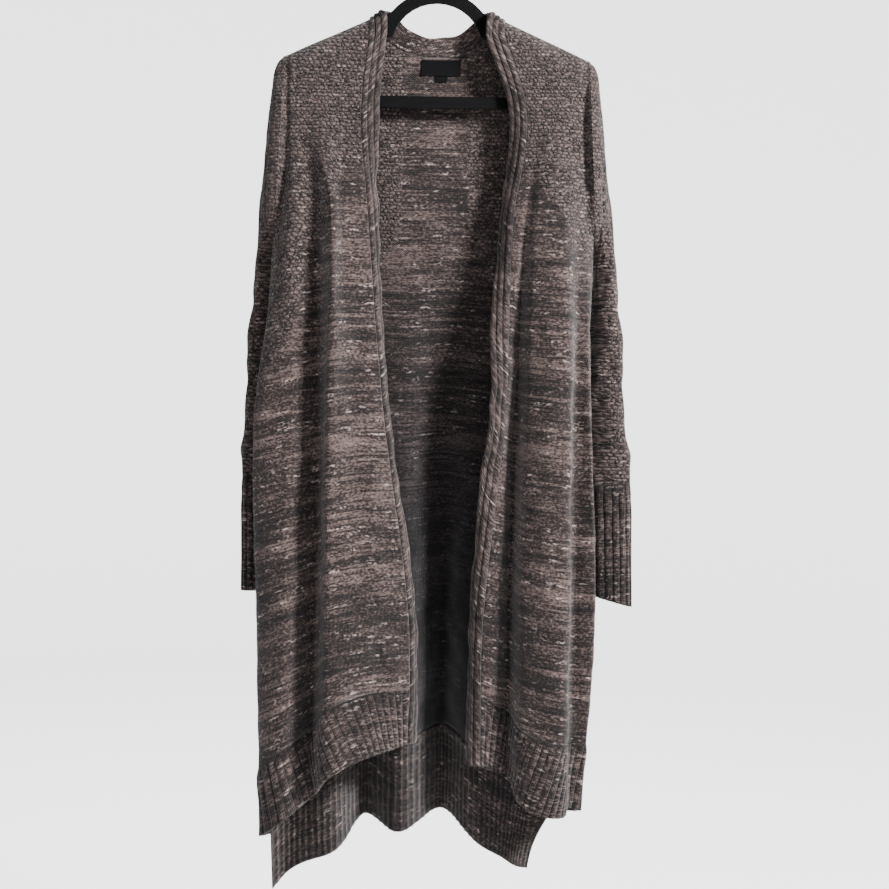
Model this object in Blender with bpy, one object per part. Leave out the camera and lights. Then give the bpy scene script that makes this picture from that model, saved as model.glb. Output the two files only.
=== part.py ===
"""Duster cardigan, open down the front, hanging on a flat hanger with a trouser bar.

Every cut and sewn piece is its own closed solid. Tables are in millimetres, the model in metres.
The origin is the inside top of the hook, +Z is up, the open front faces -Y.
"Drop" is the distance below the origin. "Right" and "left" are the wearer's.
"""

import math

import bmesh
import bpy
import numpy as np

MM = 0.001

# Cloth
WALL = 3.0
SEAM_GAP = 0.4
HEM_GAP = 0.9
RIB_HEIGHT = 1.6
SHOULDER_ROUND = 26.0
FRONT_RIBS = 28
BACK_RIBS = 56
CUFF_RIBS = 20
COLLAR_RIBS = 18
BAND_RIBS = 3
BAND_WIDTH = 25.0
COLLAR_EDGE_RISE = 26.0
COLLAR_END_CLEAR = 1.4
HEM_LEAN = 0.12
ARMHOLE_ROWS = 6
SKIRT_ROWS = 9
ARMHOLE_TOP = 160.0
ARMHOLE_FOOT = 392.0
ARMHOLE_HALF = 21.0
UNDERARM_CLEAR = 1.8
WRIST = 7 / 8
WRIST_GAP = 0.00025
NECK_HALF = 92.0
NECK_DROP = 153.0
NECK_POWER = 2.6
NECK_COLUMNS = (-92.0, -90.5, -86.0, 86.0, 90.5, 92.0)

# Hanger
ARCH_CENTRE_DROP = 146.0
ARCH_OUTER = 80.0
ARCH_INNER = 63.0
ARM_BELOW_CLOTH = 2.9
ARM_START_ACROSS = 66.0
ARM_END_ACROSS = 198.0
ARM_DEPTH = 18.0
TIP_ACROSS = 217.0
BAR_TOP = 211.0
BAR_BOTTOM = 226.5
HANGER_THICK = 4.5
HOOK_RADIUS = 20.0
HOOK_WIRE = 3.6
LABEL_SIZE = (55.0, 22.0, 0.8)
TAB_SIZE = (16.0, 8.0, 0.7)
LABEL_CENTRE = (6.0, 168.0)
LABEL_LIFT = 0.35

# Shoulder line: distance from the middle, drop
SHOULDER = ((0, 72), (62, 94), (207, ARMHOLE_TOP))

# Heights at which every line below states its place
STATIONS = (130, 215, 392, 650, 930, 1230)

# Each row is a line down the cloth: across at each station, depth at each station (front is minus),
# the drop where the ribbed hem begins, the drop where it ends
RIGHT_FRONT = {
    "band seam": ((-92, -101, -88, -63, -24, -28), (-14, -15, -20, -30, -36, -40), 1017, 1089),
    "face": ((-118, -128, -124, -104, -86, -84), (-14, -17, -30, -47, -60, -66), 1022, 1108),
    "crest": ((-142, -152, -136, -132, -130, -124), (-15, -19, -42, -59, -72, -77), 1038, 1130),
    "valley": ((-164, -172, -160, -157, -153, -150), (-16, -18, -20, -27, -30, -34), 1072, 1165),
    "outer face": ((-186, -190, -192, -198, -194, -190), (-15, -16, -26, -42, -52, -54), 1100, 1194),
    "outer edge": ((-200, -200, -206, -236, -228, -218), (-13, -13, -13, -26, -30, -30), 1128, 1219),
    "side seam": ((-207, -210, -218, -228, -222, -208), (0, 0, 0, -8, -6, -4), 1132, 1224),
}
LEFT_FRONT = {
    "band seam": ((92, 121, 108, 101, 76, 78), (-14, -15, -20, -26, -26, -30), 1029, 1121),
    "edge zone": ((110, 131, 116, 109, 93, 95), (-14, -16, -22, -20, -24, -26), 1038, 1127),
    "valley": ((126, 141, 124, 117, 111, 112), (-14, -17, -20, -10, -8, -16), 1048, 1133),
    "face": ((144, 153, 140, 132, 128, 130), (-15, -18, -32, -40, -46, -54), 1066, 1166),
    "crest": ((168, 172, 178, 186, 187, 182), (-16, -18, -36, -54, -62, -64), 1084, 1178),
    "recess": ((188, 190, 196, 198, 200, 196), (-15, -16, -20, -16, -18, -22), 1088, 1177),
    "outer edge": ((200, 200, 206, 216, 226, 208), (-13, -13, -13, -18, -18, -16), 1090, 1180),
    "side seam": ((207, 210, 218, 210, 208, 172), (0, 0, 0, -2, 2, 8), 1092, 1185),
}
BACK = {
    "right side seam": ((-207, -210, -218, -228, -222, -208), (0, 0, 0, -8, -6, -4), 1178, 1298),
    "right turn": ((-196, -200, -208, -214, -206, -194), (10, 12, 4, 0, 2, 2), 1162, 1282),
    "right crest": ((-140, -146, -144, -138, -130, -120), (15, 17, 16, 10, 0, -14), 1122, 1241),
    "right valley": ((-88, -92, -92, -90, -88, -84), (15, 17, 22, 26, 32, 38), 1088, 1205),
    "centre crest": ((-34, -36, -38, -38, -36, -32), (15, 17, 22, 18, 8, -12), 1096, 1215),
    "centre valley": ((24, 22, 20, 20, 22, 25), (15, 17, 22, 32, 42, 46), 1078, 1195),
    "left crest": ((84, 86, 84, 76, 68, 66), (15, 17, 20, 18, 9, -10), 1102, 1222),
    "left flank": ((146, 148, 148, 146, 138, 112), (15, 17, 16, 14, 12, 2), 1136, 1254),
    "left turn": ((196, 200, 208, 198, 192, 140), (10, 12, 4, 8, 14, 10), 1150, 1266),
    "left side seam": ((207, 210, 218, 210, 208, 150), (0, 0, 0, -2, 2, 12), 1152, 1269),
}

# Band roll: how far the free edge has turned back, in degrees, at each station
RIGHT_ROLL = (3, 14, 105, 140, 120, 70)
LEFT_ROLL = (3, 14, 55, 40, 100, 80)

# Each row is a ring of the sleeve: outer corner (across, depth, drop), inner corner, half thickness
RIGHT_SLEEVE = {
    "armhole": ((-207, 0, 160), (-218, 0, 392), 21),
    "cap": ((-218, 1, 172), (-224, 2, 399), 20),
    "shoulder": ((-224, 3, 212), (-228, 8, 410), 19),
    "upper arm": ((-236, 8, 325), (-224, 22, 440), 17),
    "above elbow": ((-243, 12, 420), (-214, 36, 500), 15),
    "elbow": ((-251, 14, 540), (-198, 42, 610), 15),
    "forearm": ((-256, 16, 650), (-188, 44, 680), 15),
    "wrist": ((-257, 17, 735), (-186, 44, 740), 14),
    "cuff end": ((-255, 17, 893), (-188, 42, 893), 13),
}
LEFT_SLEEVE = {
    "armhole": ((207, 0, 160), (218, 0, 392), 21),
    "cap": ((218, 1, 172), (225, 2, 399), 20),
    "shoulder": ((224, 3, 212), (229, 8, 410), 19),
    "upper arm": ((238, 7, 325), (226, 22, 440), 18),
    "above elbow": ((250, 10, 420), (218, 36, 500), 16),
    "elbow": ((260, 12, 540), (210, 40, 610), 16),
    "forearm": ((267, 12, 650), (206, 42, 680), 16),
    "wrist": ((275, 12, 735), (206, 40, 742), 15),
    "cuff end": ((279, 12, 906), (212, 38, 888), 14),
}

GREY_BROWN = (0.085, 0.075, 0.07, 1.0)
BLACK = (0.008, 0.008, 0.008, 1.0)
STEEL = (0.35, 0.35, 0.36, 1.0)


def smooth(knots, values, at):
    """Cubic through values at knots, its slopes from the neighbours: flat above, straight below."""
    knots = np.asarray(knots, float)
    at = np.maximum(np.asarray(at, float), knots[0])
    rows = np.asarray(values, float)
    if rows.ndim == 1:
        rows = rows.reshape((-1,) + (1,) * at.ndim) * np.ones((1,) + at.shape)
    gaps = np.diff(knots).reshape((-1,) + (1,) * at.ndim)
    chords = np.diff(rows, axis=0) / gaps
    middle = (chords[:-1] * gaps[1:] + chords[1:] * gaps[:-1]) / (gaps[:-1] + gaps[1:])
    slopes = np.concatenate([chords[:1], middle, chords[-1:]])
    place = np.clip(np.searchsorted(knots, at, side="right") - 1, 0, len(knots) - 2)

    def pick(table, index):
        return np.take_along_axis(table, index[None], axis=0)[0]

    start, step = knots[place], knots[place + 1] - knots[place]
    u = (at - start) / step
    inside = np.minimum(u, 1.0)
    low, high = pick(rows, place), pick(rows, place + 1)
    slope_low, slope_high = pick(slopes, place) * step, pick(slopes, place + 1) * step
    curve = (
        low * (2 * inside**3 - 3 * inside**2 + 1)
        + slope_low * (inside**3 - 2 * inside**2 + inside)
        + high * (3 * inside**2 - 2 * inside**3)
        + slope_high * (inside**3 - inside**2)
    )
    return curve + slope_high * (u - inside)


def unit(vectors):
    """Vectors of length one."""
    return vectors / np.maximum(np.linalg.norm(vectors, axis=-1, keepdims=True), 1e-9)


def shoulder_drop(across):
    """Drop of the shoulder line at a distance from the middle."""
    rows = np.array(SHOULDER, float)
    return np.interp(np.abs(across), rows[:, 0], rows[:, 1])


def neckline_drop(across):
    """Drop of the back neckline: a U between the two neck points, the shoulder line outside it."""
    reach = np.clip(np.abs(across) / NECK_HALF, 0, 1)
    shoulder = shoulder_drop(NECK_HALF)
    return NECK_DROP - (NECK_DROP - shoulder) * reach**NECK_POWER


class Panel:
    """A panel of the body between lines: side is -1 in front and +1 behind."""

    def __init__(self, lines, side, armholes):
        self.side = side
        self.armholes = armholes
        self.across = np.array([row[0] for row in lines.values()], float)
        self.depth = np.array([row[1] for row in lines.values()], float)
        self.hem_top = np.array([row[2] for row in lines.values()], float)
        self.hem_end = np.array([row[3] for row in lines.values()], float)
        steps = np.hypot(np.diff(self.across[:, 2:], axis=0), np.diff(self.depth[:, 2:], axis=0)).mean(axis=1)
        self.width = steps.sum()
        self.places = np.concatenate([[0.0], np.cumsum(steps) / steps.sum()])

    def section(self, s, drop, table):
        """The value of a table at place s across and a drop: first down each line, then across."""
        lines = np.array([smooth(STATIONS, row, drop) for row in table])
        return smooth(self.places, lines, s)

    def top(self, s):
        """Drop of the panel's top edge: the shoulder seam, and the neckline on the back."""
        across = self.section(s, np.full(np.shape(s), float(STATIONS[0])), self.across)
        if self.side < 0:
            return shoulder_drop(across)
        inside = np.abs(across) < NECK_HALF
        return np.where(inside, neckline_drop(across), shoulder_drop(across))

    def opening(self, s, drop):
        """Half width of the armhole, an ellipse, at the panel's armhole edges."""
        middle = (ARMHOLE_TOP + ARMHOLE_FOOT) / 2
        half = (ARMHOLE_FOOT - ARMHOLE_TOP) / 2
        wide = ARMHOLE_HALF * np.sqrt(np.clip(1 - ((drop - middle) / half) ** 2, 0, 1))
        weight = np.zeros(np.shape(s))
        if "end" in self.armholes:
            weight += np.clip((s - self.places[-2]) / (1 - self.places[-2]), 0, 1) ** 1.5
        if "start" in self.armholes:
            weight += np.clip(1 - s / self.places[1], 0, 1) ** 1.5
        return wide * weight

    def point(self, s, drop):
        """Middle of the cloth: across, depth, height in millimetres."""
        across = self.section(s, drop, self.across)
        below = np.clip((drop - shoulder_drop(across)) / SHOULDER_ROUND, 0, 1)
        over = np.sqrt(1 - (1 - below) ** 2)
        depth = self.section(s, drop, self.depth) * over + self.side * self.opening(s, drop)
        return np.stack([across, depth + self.side * SEAM_GAP / 2, -drop], axis=-1)

    def place_across(self, across, drop):
        """The place across the panel whose line stands at a distance across, at one drop."""
        samples = np.linspace(0, 1, 400)
        known = self.section(samples, np.full(400, float(drop)), self.across)
        return np.interp(across, known, samples)

    def hem_drop(self, s, edge):
        """Drop of the hem's seam (edge 0) or its lower end (edge 1)."""
        rows = self.hem_end if edge else self.hem_top
        return smooth(self.places, rows, s)

    def normal(self, s, drop):
        """Outward direction of the cloth: away from the body's inside."""
        step = 1e-3
        along = self.point(np.minimum(s + step, 1), drop) - self.point(np.maximum(s - step, 0), drop)
        down = self.point(s, drop + 0.5) - self.point(s, drop - 0.5)
        out = unit(np.cross(along, down))
        facing = np.sign(out[..., 1:2].mean()) or 1.0
        return out * facing * self.side


def panel_rows(top, foot):
    """Drops of the rows of a panel: over the rounded shoulder, down beside the armhole, to the foot."""
    turn = 1 - np.cos(np.linspace(0, math.pi / 2, 5))
    upper = top[None] + turn[:, None] * SHOULDER_ROUND
    beside = np.sin(np.linspace(0, math.pi / 2, ARMHOLE_ROWS + 1))[1:, None]
    middle = upper[-1:] * (1 - beside) + ARMHOLE_FOOT * beside
    below = np.linspace(0, 1, SKIRT_ROWS + 1)[1:, None]
    return np.concatenate([upper, middle, ARMHOLE_FOOT * (1 - below) + foot[None] * below])


def make_material(name, colour, roughness, metallic=0.0):
    """A plain Principled material."""
    material = bpy.data.materials.new(name)
    material.use_nodes = True
    shader = material.node_tree.nodes["Principled BSDF"]
    shader.inputs["Base Color"].default_value = colour
    shader.inputs["Roughness"].default_value = roughness
    shader.inputs["Metallic"].default_value = metallic
    return material


def add_object(name, data, colour, roughness=0.9, metallic=0.0):
    """Link an object with its own material to the cardigan's collection."""
    piece = bpy.data.objects.new(name, data)
    data.materials.append(make_material(name, colour, roughness, metallic))
    PARTS.objects.link(piece)
    return piece


def cloth_wall(name, middle, normals, relief=0.0, ring=False, colour=GREY_BROWN):
    """A wall between an outer grid, raised by the relief, and a plain inner grid, closed at its rim.

    The grids have rows down and columns across; ring closes the columns on themselves.
    """
    rows, columns = middle.shape[:2]
    outer = middle + normals * (WALL / 2 + np.broadcast_to(relief, (rows, columns))[..., None])
    inner = middle - normals * WALL / 2
    points = np.concatenate([outer.reshape(-1, 3), inner.reshape(-1, 3)]) * MM
    index = np.arange(rows * columns).reshape(rows, columns)
    if ring:
        index = np.concatenate([index, index[:, :1]], axis=1)
    back = index + rows * columns
    corners = (index[:-1, :-1], index[:-1, 1:], index[1:, 1:], index[1:, :-1])
    behind = (back[:-1, :-1], back[1:, :-1], back[1:, 1:], back[:-1, 1:])
    faces = [np.stack(corners, -1).reshape(-1, 4), np.stack(behind, -1).reshape(-1, 4)]
    faces.append(np.stack([index[0, 1:], index[0, :-1], back[0, :-1], back[0, 1:]], -1))
    faces.append(np.stack([index[-1, :-1], index[-1, 1:], back[-1, 1:], back[-1, :-1]], -1))
    if not ring:
        faces.append(np.stack([index[:-1, 0], index[1:, 0], back[1:, 0], back[:-1, 0]], -1))
        faces.append(np.stack([index[1:, -1], index[:-1, -1], back[:-1, -1], back[1:, -1]], -1))
    faces = np.concatenate(faces)
    first, second, third = (points[faces[:, k]] for k in range(3))
    fourth = points[faces[:, 3]]
    volume = np.einsum("ij,ij->i", first, np.cross(second, third)).sum()
    volume += np.einsum("ij,ij->i", first, np.cross(third, fourth)).sum()
    if volume < 0:
        faces = faces[:, ::-1]
    mesh = bpy.data.meshes.new(name)
    mesh.from_pydata(points.tolist(), [], faces.tolist())
    return add_object(name, mesh, colour)


def ribs(columns):
    """Height of the ribs over a row of columns: every second one is a crest."""
    return RIB_HEIGHT * (np.arange(columns) % 2 == 1)


def along_edge(edge, places):
    """Points and normals read straight along a neighbour's edge, so that both edges match."""
    known, points, normals = edge
    places = np.clip(places, known[0], known[-1])
    read = [np.stack([np.interp(places, known, rows[:, k]) for k in range(3)], -1) for rows in (points, normals)]
    return read[0], unit(read[1])


def meet_side(panel, drops, middle, normals):
    """Square a panel's ends to the armholes, and make both walls of a side seam end on one plane."""
    for front, back_place, outward in SIDES:
        if panel.side < 0 and panel is not front:
            continue
        column = -1 if panel.side < 0 or back_place == 1.0 else 0
        drop = drops[:, column]
        one = np.ones_like(drop)
        shared = unit(front.normal(one, drop) + back.normal(one * back_place, drop) + [outward, 0, 0])
        below = drop > ARMHOLE_FOOT - 1
        squared = unit(normals[:, column] * [0, 1, 1])
        normals[:, column] = np.where(below[:, None], shared, squared)
        if panel.side < 0:
            continue
        beside = below & (drop < front.ends[-1][0][-1])
        point, shared = along_edge(front.ends[-1], drop)
        toward = unit(np.stack([-shared[:, 1], shared[:, 0], 0 * drop], -1)) * outward
        point = point + toward * 2 * SEAM_GAP
        point[:, 2] = -drop
        middle[:, column] = np.where(beside[:, None], point, middle[:, column])
        normals[:, column] = np.where(beside[:, None], shared, normals[:, column])


def panel_wall(name, panel, columns, trim):
    """A body panel from its top edge to the seam of its ribbed hem."""
    edge = trim / panel.width
    places = np.linspace(edge, 1 - edge, columns + 1)
    if panel.side > 0:
        kinks = panel.place_across(np.array(NECK_COLUMNS), STATIONS[0])
        places = np.sort(np.concatenate([places, kinks]))
    drops = panel_rows(panel.top(places), panel.hem_drop(places, 0) - HEM_GAP / 2)
    across = np.broadcast_to(places, drops.shape)
    normals = panel.normal(across, drops)
    line = np.gradient(panel.top(places), panel.point(places, panel.top(places))[:, 0])
    over = np.stack([line, 0 * line, np.ones_like(line)], -1)
    shoulder = np.abs(panel.point(places, panel.top(places))[:, 1]) < 1.5
    normals[0] = np.where(shoulder[:, None], unit(over), normals[0])
    middle = panel.point(across, drops)
    meet_side(panel, drops, middle, normals)
    panel.top_edge = (places, middle[0], normals[0])
    panel.foot_edge = (places, middle[-1], normals[-1])
    panel.ends = [(drops[:, k], middle[:, k], normals[:, k]) for k in (0, -1)]
    return cloth_wall(name, middle, normals)


def hem_wall(name, panel, count, trim):
    """A ribbed hem along a panel's foot; its ribs lean in towards the opening."""
    edge = trim / panel.width
    along = np.linspace(edge, 1 - edge, 2 * count + 1)
    share = np.linspace(0, 1, 4)[:, None]
    lean = HEM_LEAN if panel.side < 0 else 0.0
    across = along - lean * share * 4 * along * (1 - along)
    top = panel.hem_drop(across, 0) + HEM_GAP / 2
    drops = top * (1 - share) + panel.hem_drop(across, 1) * share
    normals = panel.normal(across, drops)
    middle = panel.point(across, drops)
    meet_side(panel, drops, middle, normals)
    middle[0], normals[0] = along_edge(panel.foot_edge, across[0])
    middle[0, :, 2] -= HEM_GAP
    rows = zip(panel.ends, (0, -1))
    panel.ends = [
        tuple(np.concatenate([known, more[:, k]]) for known, more in zip(end, (drops, middle, normals)))
        for end, k in rows
    ]
    return cloth_wall(name, middle, normals, ribs(2 * count + 1))


def band_wall(name, panel, roll):
    """A front band with lengthwise ribs, from the neck point to the hem, rolled back on itself.

    It carries on from the panel's edge in the same direction and turns back on an arc.
    """
    drops = panel.ends[0][0][:, None]
    seam = panel.ends[0][1][:, None]
    heading = seam - panel.point(np.full_like(drops, 0.02), drops)
    heading[..., 2] = 0
    heading = unit(heading)
    back_turn = np.array([0.0, 1.0, 0.0])
    side = unit(back_turn - (heading @ back_turn)[..., None] * heading)
    turn = np.radians(smooth(STATIONS, roll, drops))[..., None]
    q = np.linspace(SEAM_GAP / BAND_WIDTH, 1, 2 * BAND_RIBS + 1)[None, :]
    angle = turn * q[..., None]
    radius = BAND_WIDTH / turn
    forward = radius * np.sin(angle) * heading
    sideways = radius * (1 - np.cos(angle)) * side
    lifted = np.abs(seam[..., 1:2]) < 1.0
    middle = seam + forward + sideways * ~lifted
    level = middle[0, :, 0]
    middle[0, :, 2] = -shoulder_drop(level)
    middle[0, :, 1] = seam[0, :, 1]
    tangent = unit(np.gradient(middle, axis=1))
    down = np.gradient(middle, axis=0)
    normals = unit(np.cross(tangent, down))
    flip = np.sign(normals[3, 1, 1]) * -1.0
    normals = normals * flip
    normals[0] = np.array([0.0, 0.0, 1.0])
    normals[:, 0] = panel.ends[0][2]
    return cloth_wall(name, middle, normals, ribs(2 * BAND_RIBS + 1))


def collar_wall(name, panel):
    """The ribbed back collar: from the neckline seam up and forward to its free edge."""
    reach = np.linspace(-1, 1, 2 * COLLAR_RIBS + 1)
    across = NECK_HALF * np.sin(reach * math.pi / 2)
    place = panel.place_across(across, STATIONS[0])
    seam, seam_normals = along_edge(panel.top_edge, place)
    across = seam[:, 0]
    free = np.stack([across * (NECK_HALF - BAND_WIDTH) / NECK_HALF, seam[:, 1] * 0.8,
                     seam[:, 2] + COLLAR_EDGE_RISE], -1)
    end = np.clip((np.abs(across) - 70) / (NECK_HALF - 70), 0, 1)
    on_shoulder = -shoulder_drop(free[:, 0])
    free[:, 2] = np.minimum(free[:, 2], on_shoulder) * (1 - end) + on_shoulder * end
    first = (HEM_GAP + COLLAR_END_CLEAR * end) / COLLAR_EDGE_RISE
    share = (first[None] + (1 - first[None]) * np.linspace(0, 1, 4)[:, None])[..., None]
    middle = seam[None] * (1 - share) + free[None] * share
    middle[..., 1] = np.maximum(middle[..., 1], SEAM_GAP / 2)
    along = np.gradient(middle, axis=1)
    up = np.gradient(middle, axis=0)
    normals = unit(np.cross(along, up))
    normals *= np.sign(normals[1, COLLAR_RIBS, 1])
    normals[0] = seam_normals
    return cloth_wall(name, middle, normals, ribs(2 * COLLAR_RIBS + 1))


def sleeve_point(rings, v, turn):
    """Middle of a sleeve's cloth at a place v along it and an angle round it."""
    names = np.linspace(0, 1, len(rings))
    outer = np.array([row[0] for row in rings.values()], float)
    inner = np.array([row[1] for row in rings.values()], float)
    half = smooth(names, [row[2] for row in rings.values()], v)
    ends = [np.stack([smooth(names, table[:, axis], v) for axis in range(3)], -1) for table in (outer, inner)]
    centre, arm = (ends[0] + ends[1]) / 2, (ends[0] - ends[1]) / 2
    across = np.array([0, 1.0, 0])
    spot = centre + arm * np.cos(turn)[..., None] + across * (half * np.sin(turn))[..., None]
    return spot * [1, 1, -1]


def armhole_ring(turn, outward):
    """Points round an armhole, just outside the edges of the front and the back."""
    front = left_front if outward > 0 else right_front
    middle = (ARMHOLE_TOP + ARMHOLE_FOOT) / 2
    drop = middle - (ARMHOLE_FOOT - ARMHOLE_TOP) / 2 * np.cos(turn)
    side = np.where(np.sin(turn) < 0, -1.0, 1.0)
    edge = front.section(np.ones_like(drop), drop, front.across)
    depth = side * (front.opening(np.ones_like(drop), drop) + SEAM_GAP / 2)
    clear = SEAM_GAP + UNDERARM_CLEAR * ((1 - np.cos(turn)) / 2) ** 6
    return np.stack([edge + outward * clear, depth, -drop], -1)


def tube(name, rings, start, end, rows, columns, relief):
    """A sleeve or cuff as a ring of cloth between two places along the sleeve."""
    v = np.broadcast_to(np.linspace(start, end, rows + 1)[:, None], (rows + 1, columns))
    turn = np.broadcast_to(np.arange(columns) * 2 * math.pi / columns, v.shape)
    middle = sleeve_point(rings, v, turn)
    down = sleeve_point(rings, v + 0.002, turn) - sleeve_point(rings, v - 0.002, turn)
    around = sleeve_point(rings, v, turn + 0.01) - sleeve_point(rings, v, turn - 0.01)
    normals = unit(np.cross(around, down))
    outward = middle - middle.mean(axis=1, keepdims=True)
    if (normals * outward).sum() < 0:
        normals = -normals
    if start == 0:
        normals[0] = unit(normals[0] * [0, 1, 1])
        middle[0] = armhole_ring(turn[0], math.copysign(1, middle[0, 0, 0]))
    return cloth_wall(name, middle, normals, relief, ring=True)


def flat_curve(name, outlines, thickness, colour, roughness):
    """A flat outline with holes, extruded by half its thickness, made a mesh with its caps welded."""
    curve = bpy.data.curves.new(name + "_outline", "CURVE")
    curve.dimensions = "2D"
    curve.fill_mode = "BOTH"
    curve.extrude = thickness / 2 * MM
    for outline in outlines:
        spline = curve.splines.new("POLY")
        spline.points.add(len(outline) - 1)
        for point, (across, drop) in zip(spline.points, outline):
            point.co = (across * MM, -drop * MM, 0, 1)
        spline.use_cyclic_u = True
    guide = bpy.data.objects.new(name + "_outline", curve)
    bpy.context.scene.collection.objects.link(guide)
    guide.rotation_euler = (math.pi / 2, 0, 0)
    bpy.context.view_layer.update()
    return curve_to_piece(guide, name, colour, roughness)


def curve_to_piece(guide, name, colour, roughness, metallic=0.0):
    """Turn a curve object into a welded mesh piece and remove the curve."""
    evaluated = guide.evaluated_get(bpy.context.evaluated_depsgraph_get())
    mesh = bpy.data.meshes.new_from_object(evaluated)
    work = bmesh.new()
    work.from_mesh(mesh)
    bmesh.ops.remove_doubles(work, verts=work.verts, dist=0.00002)
    work.to_mesh(mesh)
    work.free()
    mesh.name = name
    mesh.materials.clear()
    place = guide.matrix_world.copy()
    bpy.data.objects.remove(guide)
    piece = add_object(name, mesh, colour, roughness, metallic)
    piece.matrix_world = place
    return piece


def arc(centre, radius, start, end, count):
    """Points on an arc: centre (across, drop), angles in degrees, 90 is up."""
    angles = np.radians(np.linspace(start, end, count))
    return [(centre[0] + radius * math.cos(a), centre[1] - radius * math.sin(a)) for a in angles]


def hanger_outlines():
    """The outer outline and the window: arch, sloping arms, round tips, trouser bar."""
    centre = (0.0, ARCH_CENTRE_DROP)
    arm_start, arm_end = (
        (across, float(shoulder_drop(across)) + ARM_BELOW_CLOTH) for across in (ARM_START_ACROSS, ARM_END_ACROSS)
    )
    corner = math.degrees(math.asin((ARCH_CENTRE_DROP - arm_start[1]) / ARCH_OUTER))
    tip_drop = (arm_end[1] + BAR_BOTTOM) / 2 + 4
    tip_radius = (BAR_BOTTOM - arm_end[1]) / 2 - 4
    tip = (TIP_ACROSS - tip_radius, tip_drop)
    outer_right = arc(centre, ARCH_OUTER, 90, corner + 4, 9)[1:]
    outer_right += [arm_start, arm_end]
    outer_right += arc(tip, tip_radius, 48, -90, 9)
    outer = [(0.0, ARCH_CENTRE_DROP - ARCH_OUTER)] + outer_right
    outer += [(-across, drop) for across, drop in reversed(outer_right)]
    slope = math.atan2(arm_end[1] - arm_start[1], arm_end[0] - arm_start[0])
    lower = ARM_DEPTH / math.cos(slope)
    hole_tip = (tip[0] - 6, BAR_TOP - 7)
    inner_right = arc(centre, ARCH_INNER, 90, 16, 8)[1:]
    inner_right += [(arm_end[0] - 18, arm_end[1] + lower - 7)]
    inner_right += arc(hole_tip, 7, 40, -90, 5)
    inner = [(0.0, ARCH_CENTRE_DROP - ARCH_INNER)] + inner_right
    inner += [(-across, drop) for across, drop in reversed(inner_right)]
    return outer, inner


def hook_wire():
    """The hook: a stem from the arch, and an open loop whose inside top is the origin."""
    radius = HOOK_RADIUS + HOOK_WIRE / 2
    stem_foot = ARCH_CENTRE_DROP - ARCH_OUTER - 0.3
    loop = arc((0.0, HOOK_RADIUS), radius, 185, -75, 30)
    neck = [(0.0, stem_foot), (0.0, stem_foot - 8), (-1.0, stem_foot - 14)]
    neck += [(-8.0, stem_foot - 21), (-17.0, HOOK_RADIUS + 9)]
    curve = bpy.data.curves.new("hook_wire", "CURVE")
    curve.dimensions = "3D"
    curve.bevel_depth = HOOK_WIRE / 2 * MM
    curve.bevel_resolution = 2
    curve.use_fill_caps = True
    route = neck + loop
    spline = curve.splines.new("POLY")
    spline.points.add(len(route) - 1)
    for point, (across, drop) in zip(spline.points, route):
        point.co = (across * MM, 0, -drop * MM, 1)
    guide = bpy.data.objects.new("hook_wire", curve)
    bpy.context.scene.collection.objects.link(guide)
    bpy.context.view_layer.update()
    return curve_to_piece(guide, "hook", STEEL, 0.3, 1.0)


def label_wall(name, panel, size, centre, lift):
    """A plain label that follows the inside of the back, moved out by its lift."""
    width, height, thick = size
    across = np.linspace(centre[0] - width / 2, centre[0] + width / 2, 7)
    drops = np.linspace(centre[1] - height / 2, centre[1] + height / 2, 3)
    grid_across, grid_drop = np.meshgrid(across, drops)
    place = panel.place_across(grid_across, centre[1])
    middle = panel.point(place, grid_drop)
    normals = panel.normal(place, grid_drop)
    middle = middle - normals * (WALL / 2 + lift + thick / 2)
    return cloth_wall(name, middle, normals * thick / WALL, colour=BLACK)


for old in list(bpy.data.objects):
    bpy.data.objects.remove(old)
PARTS = bpy.data.collections.new("duster_cardigan")
bpy.context.scene.collection.children.link(PARTS)

right_front = Panel(RIGHT_FRONT, -1, ("end",))
left_front = Panel(LEFT_FRONT, -1, ("end",))
back = Panel(BACK, 1, ("start", "end"))
SIDES = ((right_front, 0.0, -1), (left_front, 1.0, 1))

panel_wall("front_right", right_front, 18, SEAM_GAP / 2)
panel_wall("front_left", left_front, 18, SEAM_GAP / 2)
hem_wall("hem_front_right", right_front, FRONT_RIBS, SEAM_GAP / 2)
hem_wall("hem_front_left", left_front, FRONT_RIBS, SEAM_GAP / 2)
panel_wall("back", back, 30, SEAM_GAP / 2)
hem_wall("hem_back", back, BACK_RIBS, SEAM_GAP / 2)
band_wall("band_right", right_front, RIGHT_ROLL)
band_wall("band_left", left_front, LEFT_ROLL)
collar_wall("collar", back)
for side, rings in (("right", RIGHT_SLEEVE), ("left", LEFT_SLEEVE)):
    tube("sleeve_" + side, rings, 0.0, WRIST - WRIST_GAP, 14, 16, 0.0)
    tube("cuff_" + side, rings, WRIST + WRIST_GAP, 1.0, 3, 2 * CUFF_RIBS, ribs(2 * CUFF_RIBS))
label_wall("neck_label", back, LABEL_SIZE, LABEL_CENTRE, LABEL_LIFT)
tab_drop = LABEL_CENTRE[1] + LABEL_SIZE[1] / 2 + TAB_SIZE[1] / 2 + 0.4
label_wall("size_tab", back, TAB_SIZE, (LABEL_CENTRE[0] + 1, tab_drop), LABEL_LIFT)
flat_curve("hanger", hanger_outlines(), HANGER_THICK, BLACK, 0.8)
hook_wire()
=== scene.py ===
import math

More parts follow.
